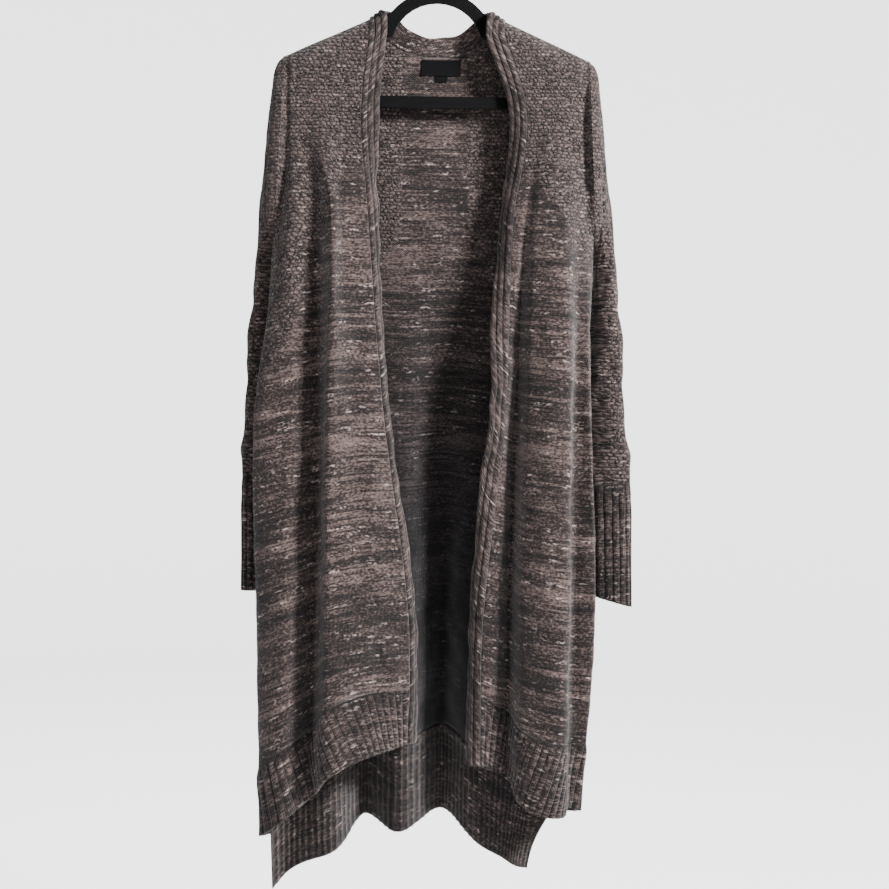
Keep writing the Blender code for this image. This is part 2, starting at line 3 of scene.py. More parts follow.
import bpy
import numpy as np
from bpy.props import FloatProperty, FloatVectorProperty, IntProperty, PointerProperty
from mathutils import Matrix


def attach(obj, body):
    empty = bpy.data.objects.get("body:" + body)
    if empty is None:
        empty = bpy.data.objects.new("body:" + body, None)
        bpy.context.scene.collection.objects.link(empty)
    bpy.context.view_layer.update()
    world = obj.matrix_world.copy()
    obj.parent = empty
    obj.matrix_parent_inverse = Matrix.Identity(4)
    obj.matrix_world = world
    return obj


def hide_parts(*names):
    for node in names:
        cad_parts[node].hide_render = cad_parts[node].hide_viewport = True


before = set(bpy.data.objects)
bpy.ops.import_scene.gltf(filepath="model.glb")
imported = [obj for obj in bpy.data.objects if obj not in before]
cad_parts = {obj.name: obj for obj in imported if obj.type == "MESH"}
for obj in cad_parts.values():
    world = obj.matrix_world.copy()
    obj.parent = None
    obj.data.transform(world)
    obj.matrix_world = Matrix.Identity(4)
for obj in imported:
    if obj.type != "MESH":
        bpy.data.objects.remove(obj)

bl_info = {
    "name": "Duster Cardigan",
    "version": (1, 0, 0),
    "blender": (4, 5, 0),
    "location": "View3D > Sidebar > Cardigan",
    "description": "Builds the knitted pieces, hanger and stage of a duster cardigan",
    "category": "Object",
}

# The cloth follows the CAD tables, in millimetres; the model is in metres.
# "Drop" is the distance below the origin, the inside top of the hook. Right and left are the wearer's.
MM = 0.001
SHOULDER_ROUND = 26.0
FRONT_RIBS = 28
BACK_RIBS = 56
CUFF_RIBS = 20
COLLAR_RIBS = 18
BAND_RIBS = 3
BAND_WIDTH = 25.0
COLLAR_EDGE_RISE = 26.0
HEM_LEAN = 0.12
ARMHOLE_TOP = 160.0
ARMHOLE_FOOT = 392.0
ARMHOLE_HALF = 21.0
NECK_HALF = 92.0
NECK_DROP = 153.0
NECK_POWER = 2.6
WRIST = 7 / 8
ARCH_FOOT_DROP = 66.0
HOOK_RADIUS = 20.0
HOOK_WIRE = 3.6
SHOULDER = ((0, 72), (62, 94), (207, ARMHOLE_TOP))
STATIONS = (130, 215, 392, 650, 930, 1230)

# Each row is a line down the cloth: across at each station, depth at each station (front is minus),
# the drop where the ribbed hem begins, the drop where it ends
RIGHT_FRONT = {
    "band seam": ((-92, -101, -88, -63, -24, -28), (-14, -15, -20, -30, -36, -40), 1017, 1089),
    "face": ((-118, -128, -124, -104, -86, -84), (-14, -17, -30, -47, -60, -66), 1022, 1108),
    "crest": ((-142, -152, -136, -132, -130, -124), (-15, -19, -42, -59, -72, -77), 1038, 1130),
    "valley": ((-164, -172, -160, -157, -153, -150), (-16, -18, -20, -27, -30, -34), 1072, 1165),
    "outer face": ((-186, -190, -192, -198, -194, -190), (-15, -16, -26, -42, -52, -54), 1100, 1194),
    "outer edge": ((-200, -200, -206, -236, -228, -218), (-13, -13, -13, -26, -30, -30), 1128, 1219),
    "side seam": ((-207, -210, -218, -228, -222, -208), (0, 0, 0, -8, -6, -4), 1132, 1224),
}
LEFT_FRONT = {
    "band seam": ((92, 121, 108, 101, 76, 78), (-14, -15, -20, -26, -26, -30), 1029, 1121),
    "edge zone": ((110, 131, 116, 109, 93, 95), (-14, -16, -22, -20, -24, -26), 1038, 1127),
    "valley": ((126, 141, 124, 117, 111, 112), (-14, -17, -20, -10, -8, -16), 1048, 1133),
    "face": ((144, 153, 140, 132, 128, 130), (-15, -18, -32, -40, -46, -54), 1066, 1166),
    "crest": ((168, 172, 178, 186, 187, 182), (-16, -18, -36, -54, -62, -64), 1084, 1178),
    "recess": ((188, 190, 196, 198, 200, 196), (-15, -16, -20, -16, -18, -22), 1088, 1177),
    "outer edge": ((200, 200, 206, 216, 226, 208), (-13, -13, -13, -18, -18, -16), 1090, 1180),
    "side seam": ((207, 210, 218, 210, 208, 172), (0, 0, 0, -2, 2, 8), 1092, 1185),
}
BACK = {
    "right side seam": ((-207, -210, -218, -228, -222, -208), (0, 0, 0, -8, -6, -4), 1178, 1298),
    "right turn": ((-196, -200, -208, -214, -206, -194), (10, 12, 4, 0, 2, 2), 1162, 1282),
    "right crest": ((-140, -146, -144, -138, -130, -120), (15, 17, 16, 10, 0, -14), 1122, 1241),
    "right valley": ((-88, -92, -92, -90, -88, -84), (15, 17, 22, 26, 32, 38), 1088, 1205),
    "centre crest": ((-34, -36, -38, -38, -36, -32), (15, 17, 22, 18, 8, -12), 1096, 1215),
    "centre valley": ((24, 22, 20, 20, 22, 25), (15, 17, 22, 32, 42, 46), 1078, 1195),
    "left crest": ((84, 86, 84, 76, 68, 66), (15, 17, 20, 18, 9, -10), 1102, 1222),
    "left flank": ((146, 148, 148, 146, 138, 112), (15, 17, 16, 14, 12, 2), 1136, 1254),
    "left turn": ((196, 200, 208, 198, 192, 140), (10, 12, 4, 8, 14, 10), 1150, 1266),
    "left side seam": ((207, 210, 218, 210, 208, 150), (0, 0, 0, -2, 2, 12), 1152, 1269),
}
RIGHT_ROLL = (3, 14, 105, 140, 120, 70)
LEFT_ROLL = (3, 14, 55, 40, 100, 80)

# Each row is a ring of the sleeve: outer corner (across, depth, drop), inner corner, half thickness
RIGHT_SLEEVE = {
    "armhole": ((-207, 0, 160), (-218, 0, 392), 21),
    "cap": ((-218, 1, 172), (-224, 2, 399), 20),
    "shoulder": ((-224, 3, 212), (-228, 8, 410), 19),
    "upper arm": ((-236, 8, 325), (-224, 22, 440), 17),
    "above elbow": ((-243, 12, 420), (-214, 36, 500), 15),
    "elbow": ((-251, 14, 540), (-198, 42, 610), 15),
    "forearm": ((-256, 16, 650), (-188, 44, 680), 15),
    "wrist": ((-257, 17, 735), (-186, 44, 740), 14),
    "cuff end": ((-255, 17, 893), (-188, 42, 893), 13),
}
LEFT_SLEEVE = {
    "armhole": ((207, 0, 160), (218, 0, 392), 21),
    "cap": ((218, 1, 172), (225, 2, 399), 20),
    "shoulder": ((224, 3, 212), (229, 8, 410), 19),
    "upper arm": ((238, 7, 325), (226, 22, 440), 18),
    "above elbow": ((250, 10, 420), (218, 36, 500), 16),
    "elbow": ((260, 12, 540), (210, 40, 610), 16),
    "forearm": ((267, 12, 650), (206, 42, 680), 16),
    "wrist": ((275, 12, 735), (206, 40, 742), 15),
    "cuff end": ((279, 12, 906), (212, 38, 888), 14),
}

# Foot of the textured stitch: distance from the middle, drop
RIGHT_YOKE = ((100, 312), (122, 318), (136, 359), (149, 400), (168, 437), (187, 530), (220, 596), (246, 668))
LEFT_YOKE = ((100, 312), (113, 313), (137, 329), (152, 352), (173, 376), (185, 412), (208, 431), (230, 450))
BACK_YOKE = ((0, 60), (40, 60), (46, 380), (60, 420), (228, 680))

# Small creases: across and drop where each begins and ends, its width, its depth (minus is a trough)
FRONT_CREASES = {
    "chest pull": ((-150, 330, -118, 520), 11, -2.4),
    "face fold": ((-104, 470, -92, 800), 15, -2.0),
    "face swell": ((-84, 560, -62, 930), 13, 1.8),
    "crest dip": ((-128, 640, -122, 760), 12, -2.2),
    "low face": ((-70, 860, -60, 1040), 12, -1.8),
    "outer fold": ((-196, 560, -204, 800), 12, -2.6),
    "outer low": ((-184, 880, -200, 1080), 13, 2.2),
    "left face": ((146, 420, 142, 700), 12, -2.0),
    "left swell": ((160, 620, 156, 900), 13, 1.9),
    "left low": ((150, 900, 146, 1080), 12, -2.1),
    "left outer": ((206, 520, 214, 820), 9, -1.8),
    "valley deep": ((-151, 430, -148, 1010), 9, -6.0),
    "crest sharp": ((-134, 420, -129, 1010), 6, 3.0),
    "left valley deep": ((112, 540, 112, 1010), 7, -3.6),
    "left recess deep": ((199, 540, 200, 1030), 8, -4.6),
    "shoulder right": ((-120, 150, -160, 290), 14, -1.4),
    "shoulder left": ((130, 150, 176, 300), 14, -1.4),
}
BACK_CREASES = {
    "centre long": ((-6, 420, -4, 900), 14, 2.0),
    "right long": ((-116, 480, -104, 980), 15, -2.4),
    "left long": ((112, 460, 104, 940), 15, 2.2),
    "right low": ((-64, 820, -58, 1080), 12, 2.0),
    "left low": ((46, 760, 44, 1060), 12, -2.2),
    "right side": ((-176, 620, -170, 1010), 14, 2.2),
    "left side": ((170, 560, 166, 980), 14, -2.0),
    "neck right": ((-60, 160, -110, 300), 16, -1.3),
    "neck left": ((60, 165, 116, 320), 16, -1.3),
}
SLEEVE_CREASES = {
    "elbow trough": ((-0.30, 470, 0.32, 520), 16, -2.6),
    "elbow ridge": ((-0.34, 515, 0.28, 560), 14, 2.2),
    "forearm trough": ((-0.28, 590, 0.30, 622), 13, -2.0),
    "cuff blouse": ((-0.36, 690, 0.36, 706), 15, 2.4),
    "upper trough": ((-0.16, 300, -0.08, 460), 16, -2.2),
    "back trough": ((0.62, 420, 0.72, 640), 18, -2.2),
}


class ClothSettings(bpy.types.PropertyGroup):
    """Sizes of the knitted cloth."""

    half_wall: FloatProperty(
        name="Half wall", description="Half the cloth's thickness", default=0.0013, unit="LENGTH"
    )
    rib_height: FloatProperty(
        name="Rib height", description="How far a rib stands out of the cloth", default=0.0019, unit="LENGTH"
    )
    unevenness: FloatProperty(
        name="Unevenness", description="Depth of the small waves of hand-like cloth", default=0.0011, unit="LENGTH"
    )
    wale: FloatProperty(name="Wale", description="Width of one knit column", default=0.0038, unit="LENGTH")
    course: FloatProperty(name="Course", description="Height of one knit row", default=0.0026, unit="LENGTH")
    cell: FloatProperty(
        name="Textured cell", description="Width of one cell of the textured stitch", default=0.0080, unit="LENGTH"
    )
    stitch_depth: FloatProperty(
        name="Stitch depth", description="Relief of the stitches", default=0.0013, unit="LENGTH"
    )
    rows: IntProperty(name="Rows", description="Rows of points down a body panel", default=230)


class YarnSettings(bpy.types.PropertyGroup):
    """Colours of the marled yarn."""

    dark: FloatVectorProperty(
        name="Dark", description="Charcoal strand", default=(0.0048, 0.0036, 0.0039), subtype="COLOR"
    )
    mid: FloatVectorProperty(
        name="Mid", description="Grey-brown strand", default=(0.036, 0.0235, 0.0210), subtype="COLOR"
    )
    taupe: FloatVectorProperty(
        name="Taupe", description="Lighter strand", default=(0.165, 0.117, 0.106), subtype="COLOR"
    )
    cream: FloatVectorProperty(
        name="Cream", description="Slubs in the yarn", default=(0.62, 0.50, 0.46), subtype="COLOR"
    )
    flock: FloatVectorProperty(
        name="Flock", description="The hanger's flocking", default=(0.0022, 0.0022, 0.0025), subtype="COLOR"
    )


class StageSettings(bpy.types.PropertyGroup):
    """Camera, lights and backdrop."""

    camera_place: FloatVectorProperty(
        name="Camera", description="Where the camera stands", default=(0.020, -1.9, -0.687), subtype="XYZ"
    )
    lens: FloatProperty(name="Lens", description="Focal length in millimetres", default=56.16)
    roll: FloatProperty(name="Roll", description="How the camera leans", default=math.radians(-1.0), subtype="ANGLE")
    floor_drop: FloatProperty(
        name="Floor", description="How far the floor is below the hook", default=1.62, unit="LENGTH"
    )
    key: FloatProperty(name="Key", description="Power of the main soft light", default=265.0)
    fill: FloatProperty(name="Fill", description="Power of the fill light", default=5.5)
    wall: FloatProperty(name="Wall", description="How brightly the backdrop shows", default=2.2)
    back: FloatProperty(name="Back", description="Power of the light from behind", default=40.0)
    sky: FloatProperty(name="Sky", description="Strength of the even light", default=0.06)


def smooth(knots, values, at):
    """Cubic through values at knots, its slopes from the neighbours: flat above, straight below."""
    knots = np.asarray(knots, float)
    at = np.maximum(np.asarray(at, float), knots[0])
    rows = np.asarray(values, float)
    if rows.ndim == 1:
        rows = rows.reshape((-1,) + (1,) * at.ndim) * np.ones((1,) + at.shape)
    gaps = np.diff(knots).reshape((-1,) + (1,) * at.ndim)
    chords = np.diff(rows, axis=0) / gaps
    middle = (chords[:-1] * gaps[1:] + chords[1:] * gaps[:-1]) / (gaps[:-1] + gaps[1:])
    slopes = np.concatenate([chords[:1], middle, chords[-1:]])
    place = np.clip(np.searchsorted(knots, at, side="right") - 1, 0, len(knots) - 2)

    def pick(table, index):
        return np.take_along_axis(table, index[None], axis=0)[0]

    start, step = knots[place], knots[place + 1] - knots[place]
    u = (at - start) / step
    inside = np.minimum(u, 1.0)
    low, high = pick(rows, place), pick(rows, place + 1)
    slope_low, slope_high = pick(slopes, place) * step, pick(slopes, place + 1) * step
    curve = (
        low * (2 * inside**3 - 3 * inside**2 + 1)
        + slope_low * (inside**3 - 2 * inside**2 + inside)
        + high * (3 * inside**2 - 2 * inside**3)
        + slope_high * (inside**3 - inside**2)
    )
    return curve + slope_high * (u - inside)


def unit(vectors):
    """Vectors of length one."""
    return vectors / np.maximum(np.linalg.norm(vectors, axis=-1, keepdims=True), 1e-9)


def table_read(table, at):
    """Straight reading of a two-column table at the distances given."""
    rows = np.array(table, float)
    return np.interp(np.abs(at), rows[:, 0], rows[:, 1])


def neckline_drop(across):
    """Drop of the back neckline: a U between the two neck points."""
    reach = np.clip(np.abs(across) / NECK_HALF, 0, 1)
    return NECK_DROP - (NECK_DROP - table_read(SHOULDER, NECK_HALF)) * reach**NECK_POWER


def waves(x, y, scale):
    """Small uneven waves of cloth: a sum of slanted sines whose lengths don't share a multiple."""
    rows = ((1.0, 63, 171, 0.4), (0.8, -97, 118, 1.9), (0.6, 41, -88, 3.1), (0.5, 29, 67, 5.2), (0.4, -23, 49, 0.9))
    total = sum(size * np.sin(2 * math.pi * (x / wide + y / tall) + turn) for size, wide, tall, turn in rows)
    return total * scale


def crease_field(table, x, y, scale=1.0):
    """Sum of soft ridges and troughs: each falls off as a bell about its line and tapers at both ends."""
    total = np.zeros(np.shape(x))
    for (x0, y0, x1, y1), width, depth in table.values():
        ax, ay = (x1 - x0) * scale, y1 - y0
        length = ax * ax + ay * ay
        px, py = (x - x0) * scale, y - y0
        t = (px * ax + py * ay) / length
        off = np.abs(px * ay - py * ax) / math.sqrt(length)
        taper = np.clip(1 - (2 * np.clip(t, -0.4, 1.4) - 1) ** 2 / 1.6, 0, 1)
        wander = 1 + 0.25 * np.sin(9 * t + x0)
        total += depth * np.exp(-((off / (width * wander)) ** 2)) * taper
    return total


def grid_normals(middle):
    """Normals of a grid of points, from its neighbours along both ways."""
    return unit(np.cross(np.gradient(middle, axis=1), np.gradient(middle, axis=0)))


def lengths(middle, axis):
    """Distance walked along a grid from its first point."""
    steps = np.linalg.norm(np.diff(middle, axis=axis), axis=-1)
    first = np.zeros_like(np.take(steps, [0], axis=axis))
    return np.concatenate([first, np.cumsum(steps, axis=axis)], axis=axis)


class Panel:
    """A panel of the body between lines: side is -1 in front and +1 behind."""

    def __init__(self, lines, side, armholes, yoke, creases):
        self.side = side
        self.armholes = armholes
        self.yoke = yoke
        self.creases = creases
        self.across = np.array([row[0] for row in lines.values()], float)
        self.depth = np.array([row[1] for row in lines.values()], float)
        self.hem_top = np.array([row[2] for row in lines.values()], float)
        self.hem_end = np.array([row[3] for row in lines.values()], float)
        steps = np.hypot(np.diff(self.across[:, 2:], axis=0), np.diff(self.depth[:, 2:], axis=0)).mean(axis=1)
        self.width = steps.sum()
        self.places = np.concatenate([[0.0], np.cumsum(steps) / steps.sum()])

    def section(self, s, drop, table):
        """The value of a table at place s across and a drop: first down each line, then across."""
        lines = np.array([smooth(STATIONS, row, drop) for row in table])
        return smooth(self.places, lines, s)

    def top(self, s):
        """Drop of the panel's top edge: the shoulder seam, and the neckline on the back."""
        across = self.section(s, np.full(np.shape(s), float(STATIONS[0])), self.across)
        shoulder = table_read(SHOULDER, across)
        if self.side < 0:
            return shoulder
        return np.where(np.abs(across) < NECK_HALF, neckline_drop(across), shoulder)

    def edges(self, s):
        """One in the panel's field, falling to nothing at the side seams."""
        fade = np.ones(np.shape(s))
        if "end" in self.armholes:
            fade = fade * np.clip((1 - s) * self.width / 22, 0, 1)
        if "start" in self.armholes:
            fade = fade * np.clip(s * self.width / 22, 0, 1)
        return fade * fade * (3 - 2 * fade)

    def opening(self, s, drop):
        """Half width of the armhole, an ellipse, at the panel's armhole edges."""
        middle = (ARMHOLE_TOP + ARMHOLE_FOOT) / 2
        half = (ARMHOLE_FOOT - ARMHOLE_TOP) / 2
        wide = ARMHOLE_HALF * np.sqrt(np.clip(1 - ((drop - middle) / half) ** 2, 0, 1))
        weight = np.zeros(np.shape(s))
        if "end" in self.armholes:
            weight += np.clip((s - self.places[-2]) / (1 - self.places[-2]), 0, 1) ** 1.5
        if "start" in self.armholes:
            weight += np.clip(1 - s / self.places[1], 0, 1) ** 1.5
        return wide * weight

    def plain(self, s, drop):
        """The cloth without its small creases: across, depth, height in millimetres."""
        across = self.section(s, drop, self.across)
        below = np.clip((drop - table_read(SHOULDER, across)) / SHOULDER_ROUND, 0, 1)
        over = np.sqrt(1 - (1 - below) ** 2)
        depth = self.section(s, drop, self.depth) * over + self.side * self.opening(s, drop)
        return np.stack([across, depth + self.side * 0.2, -drop], axis=-1)

    def point(self, s, drop, unevenness=1.1):
        """The cloth with its creases, moved along its own outward direction."""
        spot = self.plain(s, drop)
        step = 2e-3
        along = self.plain(np.minimum(s + step, 1), drop) - self.plain(np.maximum(s - step, 0), drop)
        out = unit(np.stack([-along[..., 1], along[..., 0], 0 * drop], -1))
        out = out * np.where(out[..., 1:2] < 0, -1.0, 1.0) * self.side
        x, y = spot[..., 0], drop
        lift = crease_field(self.creases, x, y) + waves(x, y, unevenness * 0.45)
        low = np.clip((drop - 150) / 120, 0, 1)
        return spot + out * (lift * low * self.edges(s))[..., None]

    def hem_drop(self, s, edge):
        """Drop of the hem's seam (edge 0) or its lower end (edge 1), a little uneven along it."""
        rows = self.hem_end if edge else self.hem_top
        return smooth(self.places, rows, s) + edge * 1.2 * np.sin(s * self.width / 13.0)

    def course_drop(self, s, drop):
        """Where a point lies down the knit: the rows lean towards the line of the hem further down."""
        lean = np.clip((drop - 300) / 800, 0, 1) * 0.7
        centre = 0.0 if self.side < 0 else 0.5
        return drop - lean * (smooth(self.places, self.hem_top, s) - smooth(self.places, self.hem_top, s * 0 + centre))

    def texture(self, spot):
        """One where the textured stitch is, nothing where the cloth is plain."""
        foot = table_read(self.yoke, spot[..., 0])
        return np.clip((foot + spot[..., 2]) / 14 + 0.5, 0, 1)


def body_panels():
    """The three panels of the body."""
    return {
        "right": Panel(RIGHT_FRONT, -1, ("end",), RIGHT_YOKE, FRONT_CREASES),
        "left": Panel(LEFT_FRONT, -1, ("end",), LEFT_YOKE, FRONT_CREASES),
        "back": Panel(BACK, 1, ("start", "end"), BACK_YOKE, BACK_CREASES),
    }


def close_sides(panels, s, drop, middle):
    """Bring the back's side edges to the fronts' side seams, over the last few centimetres across."""
    back = panels["back"]
    for front, place, near in ((panels["right"], 0.0, s), (panels["left"], 1.0, 1 - s)):
        edge = drop[:, :1] * 0 + place
        level = drop[:, :1] if place == 0.0 else drop[:, -1:]
        own = back.point(edge, level)
        other = front.point(edge * 0 + 1, level)
        end = front.hem_drop(np.array([1.0]), 1)[0]
        past = np.clip(1 - (level - end) / 70, 0, 1)
        held = np.clip((level - ARMHOLE_FOOT) / 30, 0, 1) * past * past
        fade = np.clip(1 - near * back.width / 26, 0, 1) ** 2
        middle += (other - own) * (held * fade)[..., None] * [1, 1, 0]
    return middle


def new_material(name, slot_colour):
    """An empty node material with its Principled shader and output, and its viewport colour set."""
    material = bpy.data.materials.new(name)
    material.use_nodes = True
    material.diffuse_color = (*slot_colour, 1)
    return material, material.node_tree, material.node_tree.nodes["Principled BSDF"]


def wire(tree, kind, inputs=(), **settings):
    """Add a node, set its options, and link or set its inputs, given by name or number."""
    node = tree.nodes.new(kind)
    for key, value in settings.items():
        setattr(node, key, value)
    for key, value in dict(inputs).items():
        if isinstance(value, bpy.types.NodeSocket):
            tree.links.new(value, node.inputs[key])
        else:
            node.inputs[key].default_value = value
    return node


def calc(tree, operation, *values):
    """A math node's output for sockets or numbers."""
    return wire(tree, "ShaderNodeMath", dict(enumerate(values)), operation=operation).outputs[0]


def blend(tree, factor, first, second, way="MIX"):
    """A colour mix: first where the factor is nothing, second (or first times it) where it is one."""
    node = wire(tree, "ShaderNodeMix", {"Factor": factor}, data_type="RGBA", blend_type=way)
    for index, value in ((6, first), (7, second)):
        if isinstance(value, bpy.types.NodeSocket):
            tree.links.new(value, node.inputs[index])
        else:
            node.inputs[index].default_value = (*value, 1)
    return node.outputs[2]


def spread(tree, value, low, high):
    """A value stretched so that low becomes nothing and high becomes one, clipped."""
    node = wire(tree, "ShaderNodeMapRange", {0: value, 1: low, 2: high}, clamp=True)
    return node.outputs[0]


def knit_material(name, cloth, yarn, textured=False, ribbed=False, painted_inside_shade=0.0, textured_only=False):
    """Marled knit on the cloth's own map: rows of colour, slubs along rows, stitches raised as bump, and painted shade
    in the stitch gaps, the textured stitch's hollows, the rib troughs and on the inside.
    """
    material, tree, shader = new_material(name, yarn.mid)
    place = wire(tree, "ShaderNodeUVMap", uv_map="cloth").outputs[0]
    apart = wire(tree, "ShaderNodeSeparateXYZ", {0: place})
    u, v = apart.outputs[0], apart.outputs[1]
    wale = calc(tree, "DIVIDE", u, cloth.wale)
    course = calc(tree, "DIVIDE", v, cloth.course)
    row = calc(tree, "FLOOR", course)
    inside = wire(tree, "ShaderNodeAttribute", attribute_name="inside").outputs["Fac"]

    def field(x, y, detail=1.0, rough=0.5, seed=0.0):
        vector = wire(tree, "ShaderNodeCombineXYZ", {0: x, 1: y, 2: seed}).outputs[0]
        noise = wire(tree, "ShaderNodeTexNoise", {"Vector": vector, "Scale": 1.0, "Detail": detail, "Roughness": rough})
        return noise.outputs[0]

    row_far = calc(tree, "MULTIPLY", row, 5.37)
    streak = field(calc(tree, "MULTIPLY", u, 17.0), row_far, 1.0, 0.6, 3.1)
    slub = field(calc(tree, "MULTIPLY", u, 40.0), calc(tree, "MULTIPLY", row, 0.93), 2.0, 0.6, 8.4)
    line = field(calc(tree, "MULTIPLY", u, 7.0), calc(tree, "MULTIPLY", row, 9.13), 1.0, 0.5, 12.7)
    bands = field(calc(tree, "MULTIPLY", u, 5.0), calc(tree, "MULTIPLY", v, 46.0), 3.0, 0.6, 1.7)
    cloud = field(calc(tree, "MULTIPLY", u, 9.0), calc(tree, "MULTIPLY", v, 9.0), 2.0, 0.5, 5.9)
    grain = field(calc(tree, "MULTIPLY", wale, 0.9), calc(tree, "MULTIPLY", course, 1.1), 1.0, 0.5, 2.2)
    fibre = field(calc(tree, "MULTIPLY", u, 900.0), calc(tree, "MULTIPLY", v, 1500.0), 2.0, 0.7, 6.6)
    tone = calc(tree, "MULTIPLY", streak, 0.30 if ribbed or textured_only else 0.36)
    tone = calc(tree, "MULTIPLY_ADD", bands, 0.22 if textured_only else 0.30, tone)
    tone = calc(tree, "MULTIPLY_ADD", grain, 0.50 if ribbed or textured_only else 0.44, tone)
    tone = calc(tree, "MULTIPLY_ADD", cloud, 0.14, tone)
    tone = calc(tree, "MULTIPLY_ADD", line, 0.10 if ribbed or textured_only else 0.17, tone)
    tone = calc(tree, "MULTIPLY_ADD", fibre, 0.16, tone)
    centre = (0.30 if ribbed or textured_only else 0.36) + (0.22 if textured_only else 0.30)
    centre = (centre + (0.50 if ribbed or textured_only else 0.44) + 0.30) / 2
    centre = centre + (0.05 if ribbed or textured_only else 0.085)
    tone = calc(tree, "SUBTRACT", tone, centre)
    mask = wire(tree, "ShaderNodeAttribute", attribute_name="texture").outputs["Fac"]
    if textured:
        close = field(calc(tree, "MULTIPLY", wale, 1.5), calc(tree, "MULTIPLY", course, 1.25), 1.0, 0.5, 7.7)
        knots = calc(tree, "MULTIPLY_ADD", close, 0.85, calc(tree, "MULTIPLY", fibre, 0.16))
        knots = calc(tree, "MULTIPLY_ADD", bands, 0.14, knots)
        knots = calc(tree, "SUBTRACT", knots, 0.575)
        tone = wire(tree, "ShaderNodeMix", {"Factor": mask, "A": tone, "B": knots}).outputs[0]
    dark = spread(tree, tone, -0.11, 0.02)
    light = spread(tree, tone, 0.0, 0.14)
    colour = blend(tree, dark, yarn.dark, yarn.mid)
    colour = blend(tree, light, colour, yarn.taupe)
    glint = spread(tree, slub, 0.60, 0.72)
    glint = calc(tree, "MULTIPLY", glint, spread(tree, grain, 0.40, 0.62))
    colour = blend(tree, calc(tree, "MULTIPLY", glint, 0.75), colour, yarn.cream)

    column = calc(tree, "FRACT", wale)
    half = calc(tree, "ABSOLUTE", calc(tree, "SUBTRACT", column, 0.5))
    slanted = calc(tree, "FRACT", calc(tree, "MULTIPLY_ADD", half, 1.1, course))
    leg = calc(tree, "SINE", calc(tree, "MULTIPLY", calc(tree, "FRACT", calc(tree, "MULTIPLY", wale, 2.0)), math.pi))
    loop = calc(tree, "SINE", calc(tree, "MULTIPLY", slanted, math.pi))
    face = calc(tree, "MULTIPLY", calc(tree, "POWER", leg, 0.6), calc(tree, "MULTIPLY_ADD", loop, 0.6, 0.4))
    arch = calc(tree, "MULTIPLY", calc(tree, "SINE", calc(tree, "MULTIPLY", wale, 2 * math.pi)), 0.22)
    purl = calc(tree, "SINE", calc(tree, "MULTIPLY", calc(tree, "FRACT", calc(tree, "ADD", course, arch)), math.pi))
    purl = calc(tree, "MULTIPLY", purl, calc(tree, "MULTIPLY_ADD", leg, 0.3, 0.7))
    height = wire(tree, "ShaderNodeMix", {"Factor": inside, "A": face, "B": purl}).outputs[0]
    if textured:
        cell_x = calc(tree, "DIVIDE", u, cloth.cell)
        cell_y = calc(tree, "DIVIDE", v, cloth.cell * 0.62)
        shift = calc(tree, "MULTIPLY", calc(tree, "PINGPONG", calc(tree, "FLOOR", cell_y), 1.0), 0.5)
        cell_x = calc(tree, "ADD", cell_x, shift)
        jitter = field(calc(tree, "MULTIPLY", u, 130.0), calc(tree, "MULTIPLY", v, 150.0), 1.0, 0.5, 9.3)
        wobble = calc(tree, "MULTIPLY", calc(tree, "SUBTRACT", jitter, 0.5), 1.5)
        cell_y = calc(tree, "MULTIPLY_ADD", calc(tree, "SUBTRACT", jitter, 0.5), -1.0, cell_y)
        cell_x = calc(tree, "ADD", cell_x, wobble)
        bump_x = calc(tree, "SINE", calc(tree, "MULTIPLY", calc(tree, "FRACT", cell_x), math.pi))
        bump_y = calc(tree, "SINE", calc(tree, "MULTIPLY", calc(tree, "FRACT", cell_y), math.pi))
        knot = calc(tree, "POWER", calc(tree, "MULTIPLY", bump_x, bump_y), 0.7)
        fleck = field(calc(tree, "MULTIPLY", calc(tree, "FLOOR", cell_x), 3.7), calc(tree, "FLOOR", cell_y), 0.0, 0.5, 4.4)
        relief = calc(tree, "MULTIPLY", knot, 2.0)
        relief = calc(tree, "MULTIPLY_ADD", height, 0.5, relief)
        height = wire(tree, "ShaderNodeMix", {"Factor": mask, "A": height, "B": relief}).outputs[0]
        # Painted shade: the hollows between the knots of the textured stitch are darkened.
        deep = calc(tree, "MULTIPLY", calc(tree, "SUBTRACT", 1.0, knot), calc(tree, "MULTIPLY", mask, 0.92))
        colour = blend(tree, deep, colour, [c * 0.7 for c in yarn.dark])
        lit = calc(tree, "MULTIPLY", calc(tree, "MULTIPLY", knot, mask), spread(tree, fleck, 0.42, 0.62))
        colour = blend(tree, calc(tree, "MULTIPLY", lit, 0.5), colour, yarn.taupe)
    # Painted shade: the gaps between the stitch loops are darkened towards the dark strand.
    stitch_gap_shade = calc(tree, "SUBTRACT", 1.0, spread(tree, height, 0.10, 0.62))
    colour = blend(tree, calc(tree, "MULTIPLY", stitch_gap_shade, 0.42), colour, [c * 0.6 for c in yarn.dark])
    if ribbed:
        # Painted shade: the troughs between the ribs are darkened.
        trough = wire(tree, "ShaderNodeAttribute", attribute_name="trough").outputs["Fac"]
        colour = blend(tree, calc(tree, "MULTIPLY", trough, 0.72), colour, [c * 0.5 for c in yarn.dark])
    # Painted shade on the inside of the cloth: a bluish dark that deepens further down.
    if painted_inside_shade:
        low = calc(tree, "MULTIPLY_ADD", spread(tree, v, 0.30, 0.80), painted_inside_shade, 0.05)
        colour = blend(tree, calc(tree, "MULTIPLY", low, inside), colour, (0.05, 0.06, 0.10), "MULTIPLY")
    fuzz = calc(tree, "MULTIPLY_ADD", fibre, 0.35, height)
    bump = wire(tree, "ShaderNodeBump", {"Height": fuzz, "Strength": 0.75, "Distance": cloth.stitch_depth})
    tree.links.new(colour, shader.inputs["Base Color"])
    tree.links.new(bump.outputs[0], shader.inputs["Normal"])
    shader.inputs["Roughness"].default_value = 0.88
    shader.inputs["Specular IOR Level"].default_value = 0.22
    shader.inputs["Sheen Weight"].default_value = 0.16
    shader.inputs["Sheen Roughness"].default_value = 0.5
    return material


